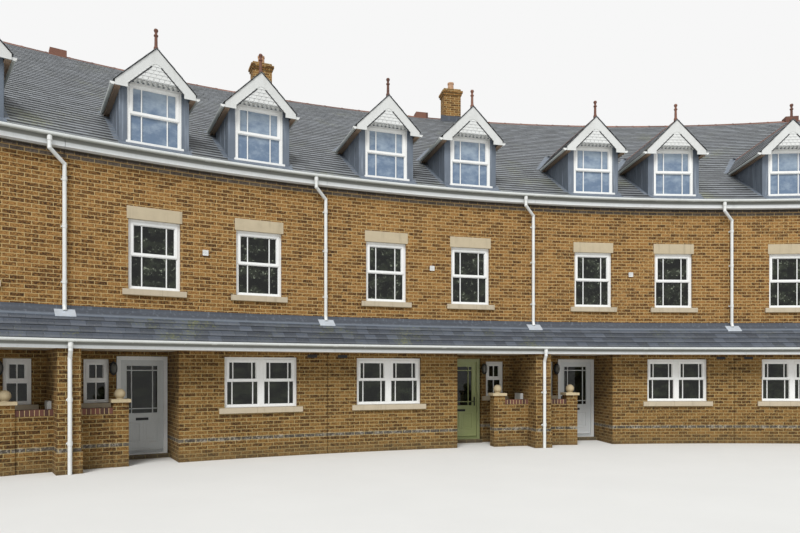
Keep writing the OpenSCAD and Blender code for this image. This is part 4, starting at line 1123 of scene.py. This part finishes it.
def gableFront():  # white parts of one gable
    made = fishScales()
    z = gable["foot"]
    wide, deep, slant = gable["dentil"]
    middle = sum(gable["dentilY"]) / 2
    pitch = 2 * gable["inner"] / gable["dentils"]
    for k in range(gable["dentils"]):  # slanted blocks under the flat board
        x = -gable["inner"] + pitch * (k + 0.5)
        piece = bar(x, wide, gable["dentilY"], (z + 0.001 - deep, z + 0.001), 0.003)
        for vertex in piece.data.vertices:
            vertex.co.x += (vertex.co.y - middle) * slant
        made.append(piece)
    y, (low, high) = gable["flatBoard"]
    made.append(bar(0, 2 * gable["inner"], y, (z + low, z + high), 0.003))
    lowerEdge = moved(block((0, bargeFoot * math.sqrt(2)), *gable["bead"], 0.003), bargeSlope)
    made.append(spread("beads", joined("bead", [lowerEdge, block(*gable["footBead"], 0.002)]), bothSides))
    return joined("gable", made)


def bargeShadowAndUndercloak():  # a dark strip inside the barge boards that is a painted shadow, and a slate undercloak over them
    boxes = (((-0.004, bargeFoot * math.sqrt(2)), *gable["gap"]), gable["undercloak"])
    lines = [moved(block(*box, 0.001), bargeSlope) for box in boxes]
    return spread("joints", joined("lines", lines), bothSides)


def eavesBoards():  # a brown soffit and a small fascia under each eave of a dormer
    y = (gable["eavesFrom"], dormer["cheekBack"] - gable["eavesShort"])
    made = [block(x, y, z, 0.003) for x, z in (gable["soffit"], gable["fascia"])]
    return spread("eaves", joined("boards", made), bothSides)


# a dark strip painted as the shadow inside each gable's barge boards, with its undercloak
fit("gable_shadow_and_undercloak", bargeShadowAndUndercloak(), atDormers, "black_metal", blackPlasticAndShadow)
fit("gable_boards", gableFront(), atDormers, "white_board", scalePaint)
fit("dormer_eaves", eavesBoards(), atDormers, "white_board", brownPaint)

cheekLead = {
    "apron": 0.212, "apronHalf": 0.66, "apronTop": 6.118, "edgeRoll": 0.012, "sillRoll": (0.013, 0.63, 6.104),
    "soaker": (0.634, 0.735), "soakerShort": 0.12, "roll": 0.011, "rollX": 0.636, "rollTop": 7.085,
    "seams": (0.012, 0.38, 0.82, 1.26), "valleyFoot": (0.75, 7.19), "valleyHead": (0.05, 7.97),
    "valleyHalf": 0.11, "valleyLift": 0.03, "valleyFold": 0.12, "valleyEnds": (0.02, 0.03),
    "valleyThick": 0.004,
    "overSlates": (0.026, 0.024, 0.02, 0.019),      # the apron's top and foot, the edge roll, the soaker
}


def alongRoof(x, y, lift, thick, bevel=0.0):  # a flat piece lying on the main roof from y[0] to y[1]
    piece = block(x, (0, (y[1] - y[0]) / math.cos(roofAngle)), (lift, lift + thick), bevel)
    return moved(piece, shifted(0, y[0], roofZ(y[0])) @ turned(roofAngle, "X"))


def roofY(z):  # where the main roof reaches a height
    return slates["eaves"][0] + (z - slates["eaves"][1]) / roofSlope


def valley(start, end):  # a folded sheet from one point to another, on both roofs
    along = end - start
    before, after = cheekLead["valleyEnds"]
    piece = bar(0, 2 * cheekLead["valleyHalf"], (-before, along.length + after),
                (0, cheekLead["valleyThick"]))
    editAll(piece)
    bpy.ops.mesh.bisect(plane_co=(0, 0, 0), plane_no=(1, 0, 0))
    bpy.ops.object.mode_set(mode="OBJECT")
    for vertex in piece.data.vertices:
        vertex.co.z += cheekLead["valleyLift"] + abs(vertex.co.x) * cheekLead["valleyFold"]
    return moved(piece, Matrix.Translation(start) @ along.to_track_quat("Y", "Z").to_matrix().to_4x4())


def dormerLeadwork():
    down, half = cheekLead["apron"], cheekLead["apronHalf"]
    edge = cheekLead["edgeRoll"]
    low = roofZ(-down)
    overTop, overFoot, overEdge, overSoaker = cheekLead["overSlates"]
    made = [strip([(-0.004, cheekLead["apronTop"]), (-0.03, roofZ(-0.03) + overTop), (-down, low + overFoot),
                   (-down - 0.004, low - 0.004)], (-half, half), 2, -0.005)]
    radius, reach, z = cheekLead["sillRoll"]
    made.append(tube(radius, -reach, reach, "X", (0, -0.008, z), 12))
    back = dormer["cheekBack"] - cheekLead["soakerShort"]
    side = [alongRoof((half - edge, half + edge), (-down, 0.0), overEdge, edge, 0.005),
            alongRoof(cheekLead["soaker"], (0, back), overSoaker, 0.005, 0.002)]
    for y in cheekLead["seams"]:
        side.append(tube(cheekLead["roll"], roofZ(y) + 0.015, cheekLead["rollTop"], "Z",
                         (cheekLead["rollX"], y, 0), 10))
    footX, footZ = cheekLead["valleyFoot"]
    past, headZ = cheekLead["valleyHead"]
    head = Vector((0, roofY(dormer["ridgeZ"]) + past, headZ))
    side.append(valley(Vector((footX, roofY(footZ), footZ)), head))
    made.append(spread("sides", joined("side", side), bothSides))
    return joined("lead", made)


fit("dormer_lead", dormerLeadwork(), atDormers, "lead", dormerLead, smooth=35)
print("dormers are dressed")


# Rainwater goods: straps, unions, stop ends, sockets and clips

rain = {
    "main": (-0.227, 5.9745), "lean": (-0.797, 2.3306), "radius": 0.057, "strap": (0.018, 0.0035),
    "union": (0.09, 0.005), "every": 0.92, "stop": (0.0005, 0.006, 0.007),
    "pipe": 0.035, "pipeY": -0.065, "lowY": -0.714, "lowWall": -0.65,
    "outlet": (-0.255, 5.83, 5.905), "lowOutlet": (0, 2.19, 2.262),
    "upperClips": (3.35, 4.35, 5.2), "rearClips": (0.35, 1.5, 2.65, 3.8, 4.95),
    "lowClips": (0.5, 1.25), "innerLines": (1, 2, 3, 4), "porchLines": (1, 3, 5), "endPipeIn": 0.095,
    "dormerGutter": (0.773, 7.143, 0.038),
    "dormerStops": ((0.005, 0.06, -0.125), (0.012, 0.016, -0.148), (0.01, 0.012, -0.1)),
    "patch": (0.17, 0.05, 0.215, 0.034), "grown": 0.008, "bandTop": 0.008, "stopTop": 0.003,
    "lugs": (0.104, 0.012, 0.018, 0.048), "arm": (0.04, 0.022, 0.044),
    "collar": ((0.007, 0, 0.07), (0.0095, 0.058, 0.07), (0.0085, 0.02, 0.045)),
}


def halfBand(wide, thick, y, z):  # a band round the under half of a gutter
    piece = tube(rain["radius"] + thick, -wide / 2, wide / 2, "X", sides=24)
    editAll(deleteVertices(piece, lambda vertex: vertex.co.z > rain["bandTop"]))
    bpy.ops.mesh.normals_make_consistent(inside=False)
    bpy.ops.object.mode_set(mode="OBJECT")
    return moved(applyModifier(piece, "SOLIDIFY", thickness=thick, offset=-1), shifted(0, y, z))


def stopEnd(radius, axis, place, thick):  # half a disc that closes a gutter
    piece = tube(radius, -thick / 2, thick / 2, axis, sides=24)
    editAll(piece)
    bpy.ops.mesh.bisect(plane_co=(0, 0, rain["stopTop"]), plane_no=(0, 0, 1), use_fill=True,
                        clear_outer=True)
    bpy.ops.object.mode_set(mode="OBJECT")
    return moved(piece, shifted(*place))


def gutterFittings():
    count = round(2 * rowHalf / rain["every"])
    straps = [standAt((2 * (k + 0.5) / count - 1) * rowHalf / row["radius"]) for k in range(count)]
    unions = [standAt(partyLine(k / 2)) for k in range(1, 2 * row["houses"])]
    less, thick, fromEnd = rain["stop"]
    rowEnds = [standAt(side * (rowHalf - fromEnd) / row["radius"]) for side in (-1, 1)]
    made = []
    for y, z in (rain["main"], rain["lean"], (row["depth"] - rain["main"][0], rain["main"][1])):
        made += [spread("straps", halfBand(*rain["strap"], y, z), straps),
                 spread("unions", halfBand(*rain["union"], y, z), unions),
                 spread("stops", stopEnd(rain["radius"] - less, "X", (0, y, z), thick), rowEnds)]
    piece = joined("gutter_fittings", made)
    for vertex in piece.data.vertices:  # the rear bands don't stand out past the rear gutter
        vertex.co.y = min(vertex.co.y, cadBounds[1][1] - 0.0005)
    return piece


def dormerEnds():  # white stop ends at the feet of a dormer's two gutters
    x, z, radius = rain["dormerGutter"]
    made = [stopEnd(radius + grown, "Y", (x, y, z + grown), thick) for grown, thick, y in rain["dormerStops"]]
    return spread("ends", joined("end", made), bothSides)


def pipeCollar(z, y, wall):  # a socket with its clip and the lugs back to the wall
    made = [tube(rain["pipe"] + thick, z + low, z + high, "Z", (0, y, 0), 24)
            for thick, low, high in rain["collar"]]
    wide, thick, low, high = rain["lugs"]
    made.append(bar(0, wide, (wall - thick, wall - 0.001), (z + low, z + high), 0.003))
    wide, low, high = rain["arm"]
    made.append(bar(0, wide, (y, wall - 0.002), (z + low, z + high), 0.003))
    return made


def pipeFittings(clips, y, wall, outlet, outletY):  # sockets up one pipe, and the collar under its outlet
    x, low, high = outlet
    made = [tube(rain["pipe"] + rain["grown"], low, high, "Z", (x, outletY, 0), 24)]
    for z in clips:
        made += pipeCollar(z, y, wall)
    return joined("collars", made)


def shoePatch():  # a lead patch on the lean-to's slates, under a downpipe's shoe
    half, top, foot, over = rain["patch"]
    edge = foot + 0.005
    profile = [(-top, leanZ(-top) + over), (-foot, leanZ(-foot) + over), (-edge, leanZ(-edge) + 0.012)]
    return strip(profile, (-half, half), 2, -0.004)


finished(gutterFittings(), "white_plastic", gutterPlastic, smooth=35)
fit("dormer_gutter_ends", dormerEnds(), atDormers, "white_plastic", pipePlastic, smooth=35)
innerPlaces = [standAt(partyLine(j)) for j in rain["innerLines"]]
backPlaces = [standBehind(partyLine(j)) for j in rain["innerLines"]]
lowPlaces = [standAt(partyLine(j) - (rain["endPipeIn"] / row["radius"] if j == row["houses"] else 0))
             for j in rain["porchLines"]]
mainPipe = (rain["pipeY"], 0.0, rain["outlet"], rain["main"][0])
lowPipe = (rain["lowY"], rain["lowWall"], rain["lowOutlet"], rain["lean"][0])
finished(joined("pipe_fittings", [
    spread("front", pipeFittings(rain["upperClips"], *mainPipe), innerPlaces),
    spread("rear", pipeFittings(rain["rearClips"], *mainPipe), backPlaces),
    spread("low", pipeFittings(rain["lowClips"], *lowPipe), lowPlaces),
]), "white_plastic", pipePlastic, smooth=35)
fit("lead_patches", shoePatch(), innerPlaces, "lead", brightLead, smooth=30)
print("rainwater goods are fitted")


# Copings: bricks set on edge in a bed of mortar, x running from the fin wall

coping = {"run": (0.1903, 0.79), "box": (-0.205, 0.02, 0.99, 1.1), "bricks": 8, "joint": 0.009,
          "bedIn": 0.004, "bedDown": 0.005, "uneven": 0.0015}


def copingBricks():
    low, high = coping["run"]
    y0, y1, z0, z1 = coping["box"]
    pitch = (high - low) / coping["bricks"]
    inset, down = coping["bedIn"], coping["bedDown"]
    made = [block((low, high), (y0 + inset, y1 - inset), (z0 + 0.002, z1 - down))]
    for k in range(coping["bricks"]):
        brick = bar(low + (k + 0.5) * pitch, pitch - coping["joint"], (y0, y1), (z0 + 0.001, z1), 0.004)
        made.append(moved(brick, shifted(0, 0, (random.random() - 0.5) * coping["uneven"])))
    return joined("coping", made)


def toneBricks(piece):  # one random tone for each brick, and a mark on the mortar between them
    mesh = piece.data
    owner = list(range(len(mesh.vertices)))

    def root(v):
        while owner[v] != v:
            v = owner[v]
        return v

    for edge in mesh.edges:
        a, b = (root(v) for v in edge.vertices)
        owner[max(a, b)] = min(a, b)
    roots = [root(v) for v in range(len(owner))]
    chosen, tones, beds = {}, [], []
    for face in mesh.polygons:
        key = roots[face.vertices[0]]
        if key not in chosen:
            chosen[key] = random.random()
        tones.append(chosen[key])
        beds.append(float(roots.count(key) == 8))  # the bed has no bevel, so it has eight corners
    mesh.attributes.new("tone", "FLOAT", "FACE").data.foreach_set("value", tones)
    mesh.attributes.new("bed", "FLOAT", "FACE").data.foreach_set("value", beds)


copingMiddle = sum(coping["run"]) / 2
copings = spread("edge_copings", copingBricks(),
                 [porchPlace(i, copingMiddle) @ shifted(-copingMiddle, 0, 0) for i in allHouses])
toneBricks(copings)
finished(copings, "dark_brick", edgeBrick, replaced=["wall_copings"])


# Lanterns beside the doors: a black oval cage on a back plate, round a glass bowl

lantern = {
    "x": 0.94, "y": 0.718, "z": 1.83, "tall": 1.95,
    "hoops": ((0.045, 0.062), (0.0, 0.0655), (-0.03, 0.056)),
    "hoop": 0.006, "ribs": (0, 45, 90, 135), "rib": (0.06, 0.117, 0.0045), "ribDepth": (-0.03, 0.045),
    "plate": (0.052, 0.048, 0.062, 0.08, 2.4), "spine": (-0.052, 0.1, 0.004), "bowl": (0.056, 0.066, 0.112),
    "arm": ((-0.03, 0.03), (0.05, 0.0815), (-0.06, 0.06)), "bowlOut": 0.02, "bowlBack": 0.062,
}
lanternMiddle = shifted(0, 0, lantern["z"])


def hoopRing(radius, thick):
    deselect()
    bpy.ops.mesh.primitive_torus_add(major_radius=radius, minor_radius=thick, major_segments=28,
                                     minor_segments=6, rotation=(math.pi / 2, 0, 0))
    return applyPlace(bpy.context.object)


def rodBetween(start, end, radius):
    along = Vector(end) - Vector(start)
    rod = tube(radius, 0, along.length, sides=8)
    return moved(rod, shifted(*start) @ along.to_track_quat("Z", "Y").to_matrix().to_4x4())


def lanternCage():
    wide, narrow, front, back, tall = lantern["plate"]
    made = [moved(tube(wide, front, back, "Y", sides=28, topRadius=narrow), Matrix.Scale(tall, 4, (0, 0, 1)))]
    for y, radius in lantern["hoops"]:
        made.append(moved(hoopRing(radius, lantern["hoop"]),
                          shifted(0, y, 0) @ Matrix.Scale(lantern["tall"], 4, (0, 0, 1))))
    halfWide, halfTall, thick = lantern["rib"]
    front, back = lantern["ribDepth"]
    for angle in lantern["ribs"]:
        x, z = halfWide * math.sin(math.radians(angle)), halfTall * math.cos(math.radians(angle))
        made += [rodBetween((side * x, front, side * z), (side * x, back, side * z), thick)
                 for side in (-1, 1)]
    y, reach, thick = lantern["spine"]
    made.append(rodBetween((0, y, -reach), (0, y, reach), thick))
    made.append(block(*lantern["arm"], 0.01))
    return moved(joined("cage", made), lanternMiddle)


def lanternBowl():
    deselect()
    bpy.ops.mesh.primitive_uv_sphere_add(segments=28, ring_count=14, radius=1)
    place = lanternMiddle @ shifted(0, lantern["bowlOut"], 0) @ Matrix.Diagonal((*lantern["bowl"], 1))
    piece = moved(applyPlace(bpy.context.object), place)
    return deleteVertices(piece, lambda vertex: vertex.co.y > lantern["bowlBack"])


lanternPlaces = [porchPlace(i, lantern["x"], lantern["y"]) for i in allHouses]
fit("lantern_cages", lanternCage(), lanternPlaces, "black_metal", blackIron, replaced=["lanterns"], smooth=40)
fit("lantern_bowls", lanternBowl(), lanternPlaces, "glass", lampGlass, smooth=60)


# Small fittings about the walls

meter = {"u": 0.1903, "out": 0.06, "y": 0.11, "width": 0.38, "foot": 0.675, "height": 0.56, "edge": 0.015,
         "rim": 0.028, "panelIn": 0.05, "lockIn": 0.032}
grille = {"u": 4.72, "width": 0.215, "height": 0.065, "foot": 2.06, "bars": 10}
louvre = {"side": 0.1, "foot": 4.1, "slats": 5, "pitch": 0.016, "slope": 0.8}
joint = {"width": 0.006, "tall": 0.11, "out": 0.0558, "upper": 0.13, "ground": -0.1}
stack = {"lines": (2, 3), "half": 0.3, "deep": 0.225, "steps": 4, "apron": 0.16, "up": 0.19, "over": 0.03,
         "past": 0.12, "stepUp": 0.15, "stepDown": 0.06, "gap": 0.003, "thick": 0.004}


def meterDoor():
    width, low, high = meter["width"], meter["foot"], meter["foot"] + meter["height"]
    edge, inset = meter["edge"], meter["panelIn"]
    return moved(joined("door", [
        ring(width - 2 * edge, (low + edge, high - edge), meter["rim"], (-0.004, 0.004), bevel=0.002),
        bar(0, width - 2 * inset, (-0.003, 0.003), (low + inset, high - inset), 0.002),
        tube(0.012, -0.008, 0.0, "Y", (width / 2 - meter["lockIn"], 0, (low + high) / 2), 14),
    ]), shifted(meter["out"], meter["y"] + width / 2, 0) @ turned(math.pi / 2, "Z"))


def louvres():
    side, low = louvre["side"], louvre["foot"]
    made = [ring(side + 0.012, (low - 0.006, low + side + 0.006), 0.016, (-0.028, -0.012), bevel=0.003)]
    for k in range(louvre["slats"]):
        z = low + 0.018 + k * louvre["pitch"]
        slat = bar(0, side - 0.024, (-0.027, -0.019), (z - 0.004, z + 0.004), 0.001)
        for vertex in slat.data.vertices:
            vertex.co.z += (vertex.co.y + 0.019) * louvre["slope"]
        made.append(slat)
    return joined("louvres", made)


def wallGrille():  # a black ventilator in the window wall, under the lean-to
    width, low, high = grille["width"], grille["foot"], grille["foot"] + grille["height"]
    made = [ring(width, (low, high), 0.008, (-0.008, 0.001), bevel=0.002),
            bar(0, width - 0.008, (-0.002, 0.001), (low + 0.004, high - 0.004))]
    for k in range(grille["bars"] + 1):
        x = (width - 0.024) * (k / grille["bars"] - 0.5)
        made.append(bar(x, 0.006, (-0.006, 0.0), (low + 0.006, high - 0.006)))
    return joined("grille", made)


def sillJoint(foot):  # the joint between a sill's two stones
    z = (foot - joint["tall"], foot + 0.001)
    return ring(joint["width"], z, joint["width"] / 4, (-joint["out"], 0.05))


def chimneyLead():  # aprons before and behind a stack, and stepped sides
    half, deep, reach = stack["half"], stack["deep"], stack["apron"]
    near = ridge["z"] - deep * roofSlope
    made = []
    for side in (-1, 1):
        wall = ridge["y"] + side * deep
        face = wall + side * stack["gap"]
        profile = [(face, near + stack["up"]), (face, near + stack["over"]),
                   (wall + side * reach, near + stack["over"] - reach * roofSlope)]
        made.append(strip(profile, (-half - stack["past"], half + stack["past"]), 2, stack["thick"] * side))
        for k in range(stack["steps"]):
            low, high = (deep * n / stack["steps"] for n in (k, k + 1))
            y = sorted((ridge["y"] + side * low, ridge["y"] + side * high))
            z = ridge["z"] - low * roofSlope
            x = (half + stack["gap"], half + stack["gap"] + stack["thick"])
            step = block(x, y, (z - stack["stepDown"], z + stack["stepUp"]), 0.001)
            made.append(spread("steps", step, bothSides))
    return joined("lead", made)


fit("meter_doors", meterDoor(), [porchPlace(i, meter["u"]) for i in allHouses], "white_plastic", pipePlastic)
fit("vent_louvres", louvres(), [standAt(partyLine(i + 0.5)) for i in allHouses], "white_plastic", pipePlastic)
grillePlaces = [standAt(directionAt(i, grille["u"]), porch["windowWall"]) for i in allHouses]
fit("wall_grilles", wallGrille(), grillePlaces, "black_metal", blackPlasticAndShadow)
finished(joined("sill_joints", [
    spread("joints", sillJoint(windows[kind][1]), [place @ shifted(joint[kind], 0, 0) for place in places])
    for kind, places in (("upper", atDormers), ("ground", windowWall))]), "stone", jointGrime)
stackPlaces = [standAt(partyLine(j)) for j in stack["lines"]]
fit("chimney_lead", chimneyLead(), stackPlaces, "lead", flashingLead)
print("fittings are in place")


# Stage

stage = {
    "eye": (-5.126, -14.1, 1.788), "turn": 17.16, "lens": 29.13, "shiftUp": 0.13,
    "sun": 2.6, "sunTurn": (42, 0, -28), "sunSoft": 25, "sky": 0.75, "skyColour": (0.93, 0.96, 1.0),
    "backdrop": 0.93, "floor": ("d2d1cd", "dad9d5"), "floorDrop": 0.002, "film": 36, "far": 500,
}


def setCamera():
    deselect()
    bpy.ops.object.camera_add(location=stage["eye"], rotation=(math.pi / 2, 0, -math.radians(stage["turn"])))
    camera = bpy.context.object
    camera.data.sensor_width = stage["film"]
    camera.data.lens = stage["lens"]
    camera.data.shift_y = stage["shiftUp"]
    camera.data.clip_end = stage["far"]
    bpy.context.scene.camera = camera


def setLight():
    bpy.ops.object.light_add(type="SUN", rotation=[math.radians(a) for a in stage["sunTurn"]])
    sun = bpy.context.object
    sun.data.energy = stage["sun"]
    sun.data.angle = math.radians(stage["sunSoft"])

    world = bpy.data.worlds.new("paleSky")
    bpy.context.scene.world = world
    world.use_nodes = True
    nodes, links = world.node_tree.nodes, world.node_tree.links
    light = nodes["Background"]
    light.inputs[0].default_value = (*stage["skyColour"], 1)
    light.inputs[1].default_value = stage["sky"]
    backdrop = nodes.new("ShaderNodeBackground")
    backdrop.inputs[0].default_value = (stage["backdrop"],) * 3 + (1,)
    rays = nodes.new("ShaderNodeLightPath")
    seenBy = rays.outputs["Is Camera Ray"]
    for kind in ("Is Glossy Ray", "Is Transmission Ray"):
        most = nodes.new("ShaderNodeMath")
        most.operation = "MAXIMUM"
        links.new(seenBy, most.inputs[0])
        links.new(rays.outputs[kind], most.inputs[1])
        seenBy = most.outputs[0]
    either = nodes.new("ShaderNodeMixShader")
    for socket, wanted in zip((seenBy, light.outputs[0], backdrop.outputs[0]), either.inputs):
        links.new(socket, wanted)
    links.new(either.outputs[0], nodes["World Output"].inputs[0])


def setFloor():
    bpy.ops.mesh.primitive_plane_add(size=400, location=(0, 0, -stage["floorDrop"]))
    floor = bpy.context.object
    floor.name = "floor"
    f = Finish("floorFinish")
    tint = f.mix(f.noise(f.place(), 0.6), *stage["floor"])
    floor.data.materials.append(f.set(Base_Color=tint, Roughness=0.9))


setCamera()
setLight()
setFloor()
bpy.context.scene.view_settings.view_transform = "Standard"
print("the stage is set")
